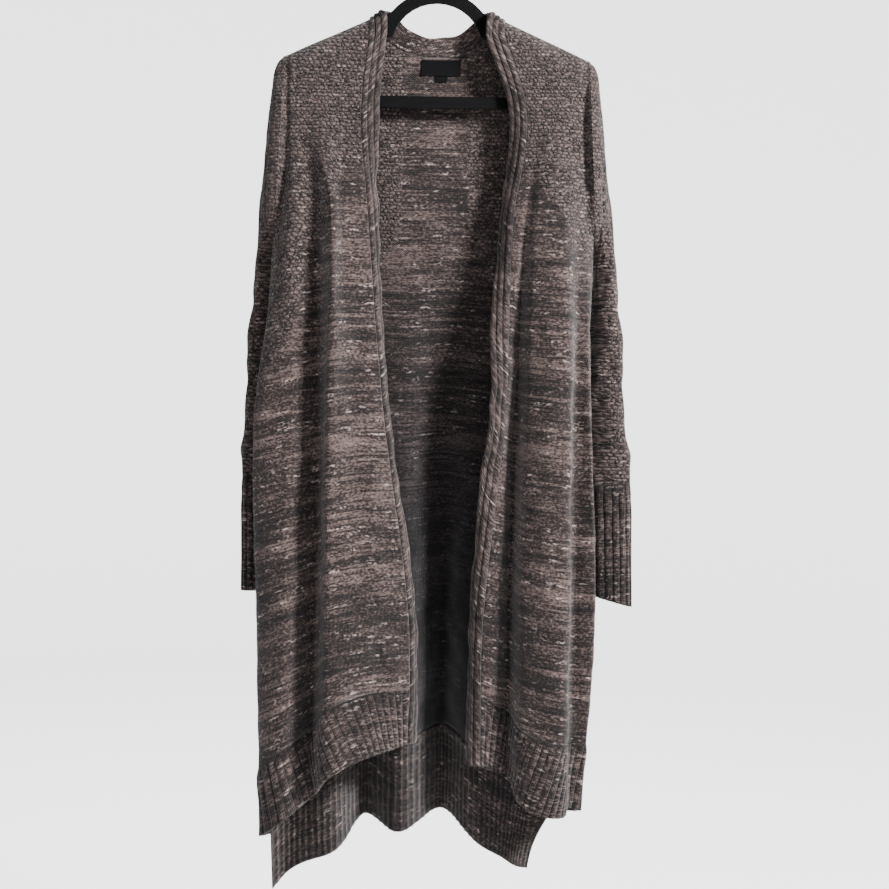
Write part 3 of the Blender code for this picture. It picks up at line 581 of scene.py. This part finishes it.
def plain_material(name, colour, roughness, metallic=0.0, sheen=0.0, grain=0.0, size=0.0008):
    """A plain finish with a fine grain raised as bump, on object coordinates."""
    material, tree, shader = new_material(name, colour)
    shader.inputs["Base Color"].default_value = (*colour, 1)
    shader.inputs["Roughness"].default_value = roughness
    shader.inputs["Metallic"].default_value = metallic
    shader.inputs["Sheen Weight"].default_value = sheen
    shader.inputs["Specular IOR Level"].default_value = 0.5 if metallic else 0.12
    place = wire(tree, "ShaderNodeTexCoord").outputs["Object"]
    noise = wire(tree, "ShaderNodeTexNoise", {"Vector": place, "Scale": 1 / size, "Detail": 2.0})
    bump = wire(tree, "ShaderNodeBump", {"Height": noise.outputs[0], "Strength": grain, "Distance": 0.0004})
    tree.links.new(bump.outputs[0], shader.inputs["Normal"])
    return material


def label_material(name, colour):
    """Black woven tape: fine crossed threads raised as bump on the label's own map."""
    material, tree, shader = new_material(name, colour)
    shader.inputs["Base Color"].default_value = (*colour, 1)
    shader.inputs["Roughness"].default_value = 0.6
    shader.inputs["Specular IOR Level"].default_value = 0.06
    place = wire(tree, "ShaderNodeUVMap", uv_map="cloth").outputs[0]
    apart = wire(tree, "ShaderNodeSeparateXYZ", {0: place})
    threads = [calc(tree, "SINE", calc(tree, "MULTIPLY", apart.outputs[k], 9000.0)) for k in (0, 1)]
    height = calc(tree, "MULTIPLY", threads[0], threads[1])
    bump = wire(tree, "ShaderNodeBump", {"Height": height, "Strength": 0.08, "Distance": 0.0002})
    tree.links.new(bump.outputs[0], shader.inputs["Normal"])
    return material


def add_piece(name, node, points, faces, corners, maps, material, features):
    """Make a mesh piece at the origin with its cloth map and its point features, and take the node's place."""
    mesh = bpy.data.meshes.new(name)
    mesh.from_pydata(points.tolist(), [], faces.tolist())
    layer = mesh.uv_layers.new(name="cloth")
    layer.data.foreach_set("uv", maps[corners.reshape(-1)].astype(np.float32).reshape(-1))
    for key, values in features.items():
        made = mesh.attributes.new(key, "FLOAT", "POINT")
        made.data.foreach_set("value", np.asarray(values, np.float32).reshape(-1))
    mesh.polygons.foreach_set("use_smooth", np.ones(len(mesh.polygons), bool))
    mesh.materials.append(material)
    mesh.update()
    piece = bpy.data.objects.new(name, mesh)
    bpy.context.scene.collection.objects.link(piece)
    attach(piece, "root")
    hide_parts(node)
    return piece


def cloth_piece(name, node, middle, normals, half, u, v, material, relief=0.0, texture=0.0, ring=False, both=0.0):
    """A thin shell about a grid of middles: outer side raised by the relief, plain inner side, closed rim.

    Rows run down and columns across. A ring has its first column repeated as its last, and the two are
    joined; its map keeps both.
    """
    rows, columns = middle.shape[:2]
    relief = np.broadcast_to(relief, (rows, columns))
    texture = np.broadcast_to(texture, (rows, columns))
    peak = max(float(relief.max()), 1e-6)
    outer = middle + normals * (half + relief)[..., None]
    inner = middle - normals * (half + both * (peak - relief) * (peak > 1e-3))[..., None]
    size = rows * columns
    points = np.concatenate([outer.reshape(-1, 3), inner.reshape(-1, 3)]) * MM
    spots = np.arange(size).reshape(rows, columns)
    index = spots.copy()
    if ring:
        index[:, -1] = index[:, 0]
    maps = np.stack([np.concatenate([u.reshape(-1)] * 2), np.concatenate([v.reshape(-1)] * 2)], -1) * MM

    def sheet_faces(grid):
        far = grid + size
        sets = [
            np.stack([grid[:-1, :-1], grid[:-1, 1:], grid[1:, 1:], grid[1:, :-1]], -1).reshape(-1, 4),
            np.stack([far[:-1, :-1], far[1:, :-1], far[1:, 1:], far[:-1, 1:]], -1).reshape(-1, 4),
            np.stack([grid[0, 1:], grid[0, :-1], far[0, :-1], far[0, 1:]], -1),
            np.stack([grid[-1, :-1], grid[-1, 1:], far[-1, 1:], far[-1, :-1]], -1),
        ]
        if not ring:
            sets.append(np.stack([grid[:-1, 0], grid[1:, 0], far[1:, 0], far[:-1, 0]], -1))
            sets.append(np.stack([grid[1:, -1], grid[:-1, -1], far[:-1, -1], far[1:, -1]], -1))
        return np.concatenate(sets)

    faces, corners = sheet_faces(index), sheet_faces(spots)
    if ring:
        used = np.unique(faces)
        renumber = np.zeros(2 * size, int)
        renumber[used] = np.arange(len(used))
    else:
        used = np.arange(2 * size)
        renumber = used
    first, second, third = (points[faces[:, k]] for k in range(3))
    if np.einsum("ij,ij->i", first, np.cross(second, third)).sum() < 0:
        faces, corners = faces[:, ::-1], corners[:, ::-1]
    # The trough feature is read by the rib material to paint shade into the troughs between ribs.
    trough = np.concatenate([(1 - relief / peak).reshape(-1), (relief / peak).reshape(-1) * both])
    trough = trough * (peak > 1e-3)
    features = {
        "inside": np.repeat([0.0, 1.0], size)[used],
        "texture": np.concatenate([texture.reshape(-1)] * 2)[used],
        "trough": trough[used],
    }
    return add_piece(name, node, points[used], renumber[faces], corners, maps, material, features)


def face_away(normals, middle, centre):
    """Turn a grid's normals so that they point away from a centre."""
    return normals * (np.sign((normals * (middle - centre)).sum()) or 1.0)


def rib_profile(turns, height):
    """Round ribs with narrow troughs: the root of a sine, one hump for each whole turn."""
    return height * np.abs(np.sin(math.pi * turns)) ** 0.62


def scene_values():
    """The settings that the pieces read."""
    scene = bpy.context.scene
    return scene.cardigan_cloth, scene.cardigan_yarn


def build_panel(node, key, columns):
    """One body panel between its top edge and the seam of its hem."""
    cloth, yarn = scene_values()
    panels = body_panels()
    panel = panels[key]
    s = np.linspace(0, 1, columns)[None, :]
    t = np.linspace(0, 1, cloth.rows)[:, None]
    t = 0.45 * t**2.2 + 0.55 * t
    top, foot = panel.top(s), panel.hem_drop(s, 0)
    drop = top + (foot - top) * t
    s = np.broadcast_to(s, drop.shape)
    middle = panel.point(s, drop, cloth.unevenness / MM)
    if key == "back":
        middle = close_sides(panels, s, drop, middle)
    normals = grid_normals(middle)
    normals = normals * np.sign(normals[cloth.rows // 2, columns // 2, 1]) * panel.side
    u = lengths(middle, 1)
    if key == "back":
        u = u - u[:, columns // 2 : columns // 2 + 1]
    v = panel.course_drop(s, drop)
    mask = panel.texture(middle)
    # Strength of the painted shade on the inside: strongest on the back.
    deep = 0.85 if key == "back" else 0.4
    material = knit_material("knit_" + node, cloth, yarn, textured=True, painted_inside_shade=deep)
    name = "cloth_" + node
    half = cloth.half_wall / MM
    return cloth_piece(name, node, middle, normals, half, u, v, material, 0.0, mask)


def build_hem(node, key, ribs):
    """One ribbed hem along a panel's foot; its ribs lean in towards the opening."""
    cloth, yarn = scene_values()
    panels = body_panels()
    panel = panels[key]
    along = np.linspace(0, 1, ribs * 8 + 1)[None, :]
    share = np.linspace(0, 1, 26)[:, None]
    lean = HEM_LEAN if panel.side < 0 else 0.0
    s = np.clip(along - lean * share * 4 * along * (1 - along), 0, 1)
    drop = panel.hem_drop(s, 0) * (1 - share) + panel.hem_drop(s, 1) * share
    middle = panel.point(s, drop, cloth.unevenness / MM)
    if key == "back":
        middle = close_sides(panels, s, drop, middle)
    normals = grid_normals(middle)
    normals = normals * np.sign(normals[13, ribs * 4, 1]) * panel.side
    rise = np.clip(share * 9, 0, 1)
    relief = rib_profile(along * ribs, cloth.rib_height / MM) * rise
    u = np.broadcast_to(along * panel.width, drop.shape)
    v = lengths(middle, 0)
    material = knit_material("rib_" + node, cloth, yarn, ribbed=True)
    half = cloth.half_wall / MM
    return cloth_piece("cloth_" + node, node, middle, normals, half, u, v, material, relief, both=0.9)


def build_band(node, key, roll):
    """One front band with lengthwise ribs, from the neck point to the hem, rolled back on itself."""
    cloth, yarn = scene_values()
    panel = body_panels()[key]
    top = float(panel.top(np.array([0.0]))[0])
    end = float(panel.hem_drop(np.array([0.0]), 1)[0])
    drop = top + (end - top) * (np.linspace(0, 1, 300)[:, None] ** 1.15)
    seam = panel.point(np.zeros_like(drop), drop, cloth.unevenness / MM)
    behind = panel.point(np.full_like(drop, 0.02), drop, cloth.unevenness / MM)
    heading = (seam - behind) * [1, 1, 0]
    heading = unit(heading)
    back_turn = np.array([0.0, 1.0, 0.0])
    side = unit(back_turn - (heading @ back_turn)[..., None] * heading)
    turn = np.radians(smooth(STATIONS, roll, drop))[..., None]
    q = np.linspace(0, 1, BAND_RIBS * 8 + 1)[None, :]
    angle = turn * q[..., None]
    radius = BAND_WIDTH / turn
    lifted = np.clip((drop - top) / 14, 0, 1)[..., None]
    middle = seam + radius * np.sin(angle) * heading + radius * (1 - np.cos(angle)) * side * lifted
    near_top = np.clip(1 - (drop - top) / 20, 0, 1)
    middle[..., 2] += (-table_read(SHOULDER, middle[..., 0]) - middle[..., 2] - (drop - top)) * near_top
    middle[..., 0] += 0.7 * np.sin(drop / 31.0) * q
    normals = grid_normals(middle)
    normals = normals * -np.sign(normals[40, 4, 1])
    relief = rib_profile(q * BAND_RIBS, cloth.rib_height / MM)
    u = np.broadcast_to(q * BAND_WIDTH, middle.shape[:2])
    v = lengths(middle, 0)
    material = knit_material("rib_" + node, cloth, yarn, ribbed=True)
    half = cloth.half_wall / MM
    return cloth_piece("cloth_" + node, node, middle, normals, half, u, v, material, relief)


def build_collar():
    """The ribbed back collar: from the neckline seam up and forward to its free edge."""
    cloth, yarn = scene_values()
    panel = body_panels()["back"]
    reach = np.linspace(-1, 1, COLLAR_RIBS * 8 + 1)
    across = NECK_HALF * np.sin(reach * math.pi / 2)
    samples = np.linspace(0, 1, 600)
    known = panel.section(samples, np.full(600, float(STATIONS[0])), panel.across)
    s = np.interp(across, known, samples)
    seam = panel.point(s, panel.top(s), 0.0)
    free = np.stack([
        seam[:, 0] * (NECK_HALF - BAND_WIDTH) / NECK_HALF,
        seam[:, 1] * 0.8,
        seam[:, 2] + COLLAR_EDGE_RISE + 0.8 * np.sin(reach * 17),
    ], -1)
    end = np.clip((np.abs(across) - 70) / (NECK_HALF - 70), 0, 1)
    on_shoulder = -table_read(SHOULDER, free[:, 0])
    free[:, 2] = np.minimum(free[:, 2], on_shoulder) * (1 - end) + on_shoulder * end
    share = np.linspace(0, 1, 14)[:, None, None]
    middle = seam[None] * (1 - share) + free[None] * share
    middle[..., 1] = np.maximum(middle[..., 1], 0.4)
    normals = grid_normals(middle)
    normals = normals * np.sign(normals[6, COLLAR_RIBS * 4, 1])
    relief = rib_profile(np.linspace(0, 1, COLLAR_RIBS * 8 + 1)[None, :] * COLLAR_RIBS, cloth.rib_height / MM)
    relief = np.broadcast_to(relief, middle.shape[:2])
    u = lengths(middle, 1)
    v = lengths(middle, 0)
    material = knit_material("rib_collar", cloth, yarn, ribbed=True)
    half = cloth.half_wall / MM
    return cloth_piece("cloth_collar", "collar", middle, normals, half, u, v, material, relief)


def sleeve_point(rings, v, turn):
    """Middle of a sleeve's cloth at a place v along it and an angle round it."""
    names = np.linspace(0, 1, len(rings))
    outer = np.array([row[0] for row in rings.values()], float)
    inner = np.array([row[1] for row in rings.values()], float)
    half = smooth(names, [row[2] for row in rings.values()], v)
    ends = [np.stack([smooth(names, table[:, axis], v) for axis in range(3)], -1) for table in (outer, inner)]
    centre, arm = (ends[0] + ends[1]) / 2, (ends[0] - ends[1]) / 2
    spot = centre + arm * np.cos(turn)[..., None] + np.array([0, 1.0, 0]) * (half * np.sin(turn))[..., None]
    return spot * [1, 1, -1]


def armhole_ring(front, turn, outward):
    """Points round an armhole, just outside the edges of the front and the back."""
    middle = (ARMHOLE_TOP + ARMHOLE_FOOT) / 2
    drop = middle - (ARMHOLE_FOOT - ARMHOLE_TOP) / 2 * np.cos(turn)
    side = np.where(np.sin(turn) < 0, -1.0, 1.0)
    edge = front.section(np.ones_like(drop), drop, front.across)
    depth = side * (front.opening(np.ones_like(drop), drop) + 0.2)
    return np.stack([edge + outward * 0.3, depth, -drop], -1)


def build_sleeve(node, rings, key, start, end, rows, ribs):
    """A sleeve, or its cuff where ribs are given, as a ring of cloth with its seam under the arm."""
    cloth, yarn = scene_values()
    columns = 8 * ribs + 1 if ribs else 97
    turn = np.linspace(-math.pi, math.pi, columns)[None, :]
    t = np.linspace(0, 1, rows)[:, None]
    v = np.broadcast_to(start + (end - start) * t, (rows, columns))
    turn = np.broadcast_to(turn, v.shape)
    middle = sleeve_point(rings, v, turn)
    outward = 1.0 if key == "left" else -1.0
    if start == 0:
        ring = armhole_ring(body_panels()[key], turn[:1], outward)
        near = np.clip(1 - v / 0.07, 0, 1)[..., None] ** 2
        middle = middle + (ring - middle[:1]) * near
    normals = grid_normals(middle)
    centre = middle.mean(axis=1, keepdims=True)
    normals = face_away(normals, middle, centre)
    drop = -middle[..., 2]
    lift = crease_field(SLEEVE_CREASES, turn / math.pi, drop, 120.0)
    lift = lift + crease_field(SLEEVE_CREASES, turn / math.pi + 2, drop, 120.0)
    lift = lift + waves(turn * 40, drop, cloth.unevenness / MM * 0.5)
    fade = np.clip(v / 0.12, 0, 1) * np.clip((1 - v) / 0.1, 0, 1)
    fade = fade * np.clip(1.15 - np.abs(turn / math.pi) ** 6, 0, 1)
    middle = middle + normals * (lift * fade)[..., None]
    if start == 0:
        under = np.exp(-(((drop - 412) / 30) ** 2)) * np.clip(np.abs(turn / math.pi) * 4 - 3, 0, 1)
        middle[..., 0] -= outward * 11.0 * under * np.clip(v * 40, 0, 1)
    normals = face_away(grid_normals(middle), middle, centre)
    if start == 0:
        normals[0] = unit(normals[0] * [0, 1, 1])
    half = cloth.half_wall / MM
    name = "cloth_" + node
    if ribs:
        u = lengths(middle, 1)
        down = lengths(middle, 0)
    else:
        down = -middle[..., 2]
        crown = columns // 2
        reach = np.interp(down, down[:, crown], outward * middle[:, crown, 0])
        u = middle[..., 1] + np.sign(turn) * (reach - outward * middle[..., 0])
        material = knit_material("knit_" + node, cloth, yarn, textured=True, textured_only=True)
        return cloth_piece(name, node, middle, normals, half, u, down, material, 0.0, 1.0, ring=True)
    rise = np.clip(t * 9, 0, 1)
    relief = rib_profile((turn / math.pi + 1) / 2 * ribs, cloth.rib_height / MM) * rise
    material = knit_material("rib_" + node, cloth, yarn, ribbed=True)
    return cloth_piece(name, node, middle, normals, half, u, down, material, relief, 0.0, ring=True)


def build_label(node, size, centre, lift, material):
    """A plain woven label on the inside of the back, its long edges turned under."""
    panel = body_panels()["back"]
    width, height, thick = size
    across = np.linspace(centre[0] - width / 2, centre[0] + width / 2, 56)
    drops = np.linspace(centre[1] - height / 2, centre[1] + height / 2, 24)
    grid_across, grid_drop = np.meshgrid(across, drops)
    samples = np.linspace(0, 1, 600)
    known = panel.section(samples, np.full(600, float(centre[1])), panel.across)
    s = np.interp(grid_across, known, samples)
    middle = panel.plain(s, grid_drop)
    normals = grid_normals(middle)
    normals = normals * np.sign(normals[12, 28, 1])
    middle = middle - normals * (1.5 + lift + thick / 2)
    edge = np.minimum(grid_drop - drops[0], drops[-1] - grid_drop)
    fold = 0.22 * np.exp(-(((edge - 1.6) / 0.8) ** 2))
    middle = middle - normals * fold[..., None]
    u, v = grid_across, grid_drop
    return cloth_piece("cloth_" + node, node, middle, -normals, thick / 2, u, v, material)


def build_hook():
    """The hook as a round wire: a stem from the arch, and an open loop whose inside top is the origin."""
    radius = HOOK_RADIUS + HOOK_WIRE / 2
    angles = np.radians(np.linspace(185, -75, 60))
    loop = np.stack([radius * np.cos(angles), HOOK_RADIUS - radius * np.sin(angles)], -1)
    foot = ARCH_FOOT_DROP - 0.3
    neck = [(0, foot), (0, foot - 8), (-1, foot - 14), (-8, foot - 21), (-17, HOOK_RADIUS + 9)]
    route = np.concatenate([np.array(neck, float), loop])
    walked = np.concatenate([[0], np.cumsum(np.linalg.norm(np.diff(route, axis=0), axis=1))])
    even = np.linspace(0, walked[-1], 160)
    line = np.stack([np.interp(even, walked, route[:, k]) for k in (0, 1)], -1)
    kernel = np.array([1, 2, 3, 2, 1]) / 9.0
    for k in (0, 1):
        line[2:-2, k] = np.convolve(line[:, k], kernel, mode="valid")
    along = unit(np.gradient(line, axis=0))
    sides = np.stack([-along[:, 1], along[:, 0]], -1)
    turn = np.linspace(0, 2 * math.pi, 25)
    tip = np.ones(160)
    tip[-6:] = np.sqrt(np.clip(1 - (np.arange(6) / 5.2) ** 2, 0, 1))
    size = HOOK_WIRE / 2 * tip[:, None]
    x = line[:, :1] + sides[:, :1] * np.cos(turn) * size
    drop = line[:, 1:] + sides[:, 1:] * np.cos(turn) * size
    points = np.stack([x, np.sin(turn) * size, -drop], -1)
    index = np.arange(160 * 25).reshape(160, 25)
    index[:, -1] = index[:, 0]
    faces = np.stack([index[:-1, :-1], index[:-1, 1:], index[1:, 1:], index[1:, :-1]], -1).reshape(-1, 4)
    material = plain_material("hook_steel", (0.62, 0.62, 0.64), 0.22, metallic=1.0, grain=0.05)
    flat = points.reshape(-1, 3) * MM
    maps = np.stack([np.repeat(even, 25), np.tile(turn, 160)], -1)
    return add_piece("wire_hook", "hook", flat, faces, faces, maps, material, {})


class CARDIGAN_OT_fronts(bpy.types.Operator):
    """Knit the two fronts"""

    bl_idname = "cardigan.fronts"
    bl_label = "Fronts"

    def execute(self, context):
        right = build_panel("front_right", "right", 96)
        left = build_panel("front_left", "left", 96)
        return {"FINISHED"}


class CARDIGAN_OT_back(bpy.types.Operator):
    """Knit the back"""

    bl_idname = "cardigan.back"
    bl_label = "Back"

    def execute(self, context):
        piece = build_panel("back", "back", 165)
        return {"FINISHED"}


class CARDIGAN_OT_sleeves(bpy.types.Operator):
    """Knit the sleeves"""

    bl_idname = "cardigan.sleeves"
    bl_label = "Sleeves"

    def execute(self, context):
        for node, rings, key in (("sleeve_right", RIGHT_SLEEVE, "right"), ("sleeve_left", LEFT_SLEEVE, "left")):
            piece = build_sleeve(node, rings, key, 0.0, WRIST, 250, 0)
        return {"FINISHED"}


class CARDIGAN_OT_cuffs(bpy.types.Operator):
    """Knit the ribbed cuffs"""

    bl_idname = "cardigan.cuffs"
    bl_label = "Cuffs"

    def execute(self, context):
        for node, rings, key in (("cuff_right", RIGHT_SLEEVE, "right"), ("cuff_left", LEFT_SLEEVE, "left")):
            piece = build_sleeve(node, rings, key, WRIST, 1.0, 44, CUFF_RIBS)
        return {"FINISHED"}


class CARDIGAN_OT_hems(bpy.types.Operator):
    """Knit the ribbed hems"""

    bl_idname = "cardigan.hems"
    bl_label = "Hems"

    def execute(self, context):
        right = build_hem("hem_front_right", "right", FRONT_RIBS)
        left = build_hem("hem_front_left", "left", FRONT_RIBS)
        back = build_hem("hem_back", "back", BACK_RIBS)
        return {"FINISHED"}


class CARDIGAN_OT_bands(bpy.types.Operator):
    """Knit the front bands"""

    bl_idname = "cardigan.bands"
    bl_label = "Bands"

    def execute(self, context):
        for node, key, roll in (("band_right", "right", RIGHT_ROLL), ("band_left", "left", LEFT_ROLL)):
            piece = build_band(node, key, roll)
        return {"FINISHED"}


class CARDIGAN_OT_collar(bpy.types.Operator):
    """Knit the collar"""

    bl_idname = "cardigan.collar"
    bl_label = "Collar"

    def execute(self, context):
        build_collar()
        return {"FINISHED"}


class CARDIGAN_OT_labels(bpy.types.Operator):
    """Sew in the plain labels"""

    bl_idname = "cardigan.labels"
    bl_label = "Labels"

    def execute(self, context):
        material = label_material("label_black", (0.0035, 0.0035, 0.004))
        build_label("neck_label", (55.0, 22.0, 0.8), (6.0, 168.0), 0.35, material)
        build_label("size_tab", (16.0, 8.0, 0.7), (7.0, 183.4), 0.35, material)
        return {"FINISHED"}


class CARDIGAN_OT_hanger(bpy.types.Operator):
    """Finish the hanger and bend the hook"""

    bl_idname = "cardigan.hanger"
    bl_label = "Hanger"

    def execute(self, context):
        _, yarn = scene_values()
        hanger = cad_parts["hanger"]
        flock = plain_material("hanger_flock", tuple(yarn.flock), 0.95, sheen=0.03, grain=0.6, size=0.0005)
        if not hanger.material_slots:
            hanger.data.materials.append(flock)
        for place in hanger.material_slots:
            place.material = flock
        build_hook()
        return {"FINISHED"}


class CARDIGAN_OT_stage(bpy.types.Operator):
    """Set the floor, backdrop, lights and camera"""

    bl_idname = "cardigan.stage"
    bl_label = "Stage"

    def execute(self, context):
        scene = context.scene
        stage = scene.cardigan_stage
        floor = -stage.floor_drop
        rise = np.linspace(0, math.pi / 2, 10)
        run = [(0.0, floor), (2.0, floor)]
        run += [(4.2 + 0.8 * math.sin(a), floor + 0.8 * (1 - math.cos(a))) for a in rise]
        run += [(5.0, 1.0), (5.0, 3.6)]
        profile = np.array(run)
        turn = np.linspace(0, 2 * math.pi, 65)[None, :]
        reach, level = profile[:, :1], profile[:, 1:]
        points = np.stack([reach * np.cos(turn), reach * np.sin(turn), level + 0 * turn], -1).reshape(-1, 3)
        index = np.arange(len(run) * 65).reshape(len(run), 65)
        faces = np.stack([index[:-1, :-1], index[:-1, 1:], index[1:, 1:], index[1:, :-1]], -1).reshape(-1, 4)
        mesh = bpy.data.meshes.new("backdrop")
        mesh.from_pydata(points.tolist(), [], faces.tolist())
        mesh.shade_smooth()
        paper, tree, shader = new_material("backdrop_paper", (0.86, 0.86, 0.87))
        shader.inputs["Base Color"].default_value = (0.80, 0.80, 0.81, 1)
        shader.inputs["Roughness"].default_value = 1.0
        shader.inputs["Emission Color"].default_value = (0.97, 0.975, 1.0, 1)
        seen = wire(tree, "ShaderNodeLightPath").outputs["Is Camera Ray"]
        tree.links.new(calc(tree, "MULTIPLY_ADD", seen, stage.wall, 0.05), shader.inputs["Emission Strength"])
        mesh.materials.append(paper)
        backdrop = bpy.data.objects.new("backdrop", mesh)
        scene.collection.objects.link(backdrop)
        rows = (
            ("key_light", (2.05, -1.4, 0.8), (0.0, 0.0, -0.5), 0.5, stage.key),
            ("fill_light", (-1.7, -1.9, 0.1), (0.0, 0.0, -0.7), 1.6, stage.fill),
            ("back_light", (-0.9, 2.2, 0.9), (0.0, 0.0, -0.6), 1.2, stage.back),
        )
        for name, place, aim, size, power in rows:
            lamp = bpy.data.lights.new(name, "AREA")
            lamp.energy = power
            lamp.size = size
            light = bpy.data.objects.new(name, lamp)
            scene.collection.objects.link(light)
            light.location = place
            toward = np.array(aim) - np.array(place)
            reach = math.hypot(toward[0], toward[1])
            light.rotation_euler = (math.atan2(reach, -toward[2]), 0, math.atan2(-toward[0], toward[1]))
        world = bpy.data.worlds.new("soft_sky")
        world.use_nodes = True
        world.node_tree.nodes["Background"].inputs[0].default_value = (0.95, 0.96, 1.0, 1)
        world.node_tree.nodes["Background"].inputs[1].default_value = stage.sky
        scene.world = world
        lens = bpy.data.cameras.new("camera")
        lens.lens = stage.lens
        lens.sensor_width = 36
        camera = bpy.data.objects.new("camera", lens)
        scene.collection.objects.link(camera)
        camera.location = stage.camera_place
        camera.rotation_euler = (math.pi / 2, stage.roll, 0)
        scene.camera = camera
        return {"FINISHED"}


class CARDIGAN_PT_panel(bpy.types.Panel):
    """Settings and steps of the cardigan"""

    bl_idname = "CARDIGAN_PT_panel"
    bl_label = "Duster Cardigan"
    bl_space_type = "VIEW_3D"
    bl_region_type = "UI"
    bl_category = "Cardigan"

    def draw(self, context):
        for group in (context.scene.cardigan_cloth, context.scene.cardigan_yarn, context.scene.cardigan_stage):
            box = self.layout.box()
            for key in group.__annotations__:
                box.prop(group, key)
        for step in STEPS:
            self.layout.operator(step.bl_idname)


STEPS = (
    CARDIGAN_OT_fronts,
    CARDIGAN_OT_back,
    CARDIGAN_OT_sleeves,
    CARDIGAN_OT_cuffs,
    CARDIGAN_OT_hems,
    CARDIGAN_OT_bands,
    CARDIGAN_OT_collar,
    CARDIGAN_OT_labels,
    CARDIGAN_OT_hanger,
    CARDIGAN_OT_stage,
)
CLASSES = (ClothSettings, YarnSettings, StageSettings) + STEPS + (CARDIGAN_PT_panel,)


def register():
    """Add the classes and the settings to Blender."""
    for item in CLASSES:
        bpy.utils.register_class(item)
    bpy.types.Scene.cardigan_cloth = PointerProperty(type=ClothSettings)
    bpy.types.Scene.cardigan_yarn = PointerProperty(type=YarnSettings)
    bpy.types.Scene.cardigan_stage = PointerProperty(type=StageSettings)


def unregister():
    """Take them out again."""
    del bpy.types.Scene.cardigan_stage
    del bpy.types.Scene.cardigan_yarn
    del bpy.types.Scene.cardigan_cloth
    for item in reversed(CLASSES):
        bpy.utils.unregister_class(item)


def main():
    """Build every piece and the stage."""
    register()
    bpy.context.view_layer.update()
    for step in STEPS:
        area, name = step.bl_idname.split(".")
        getattr(getattr(bpy.ops, area), name)()


if __name__ == "__main__":
    main()
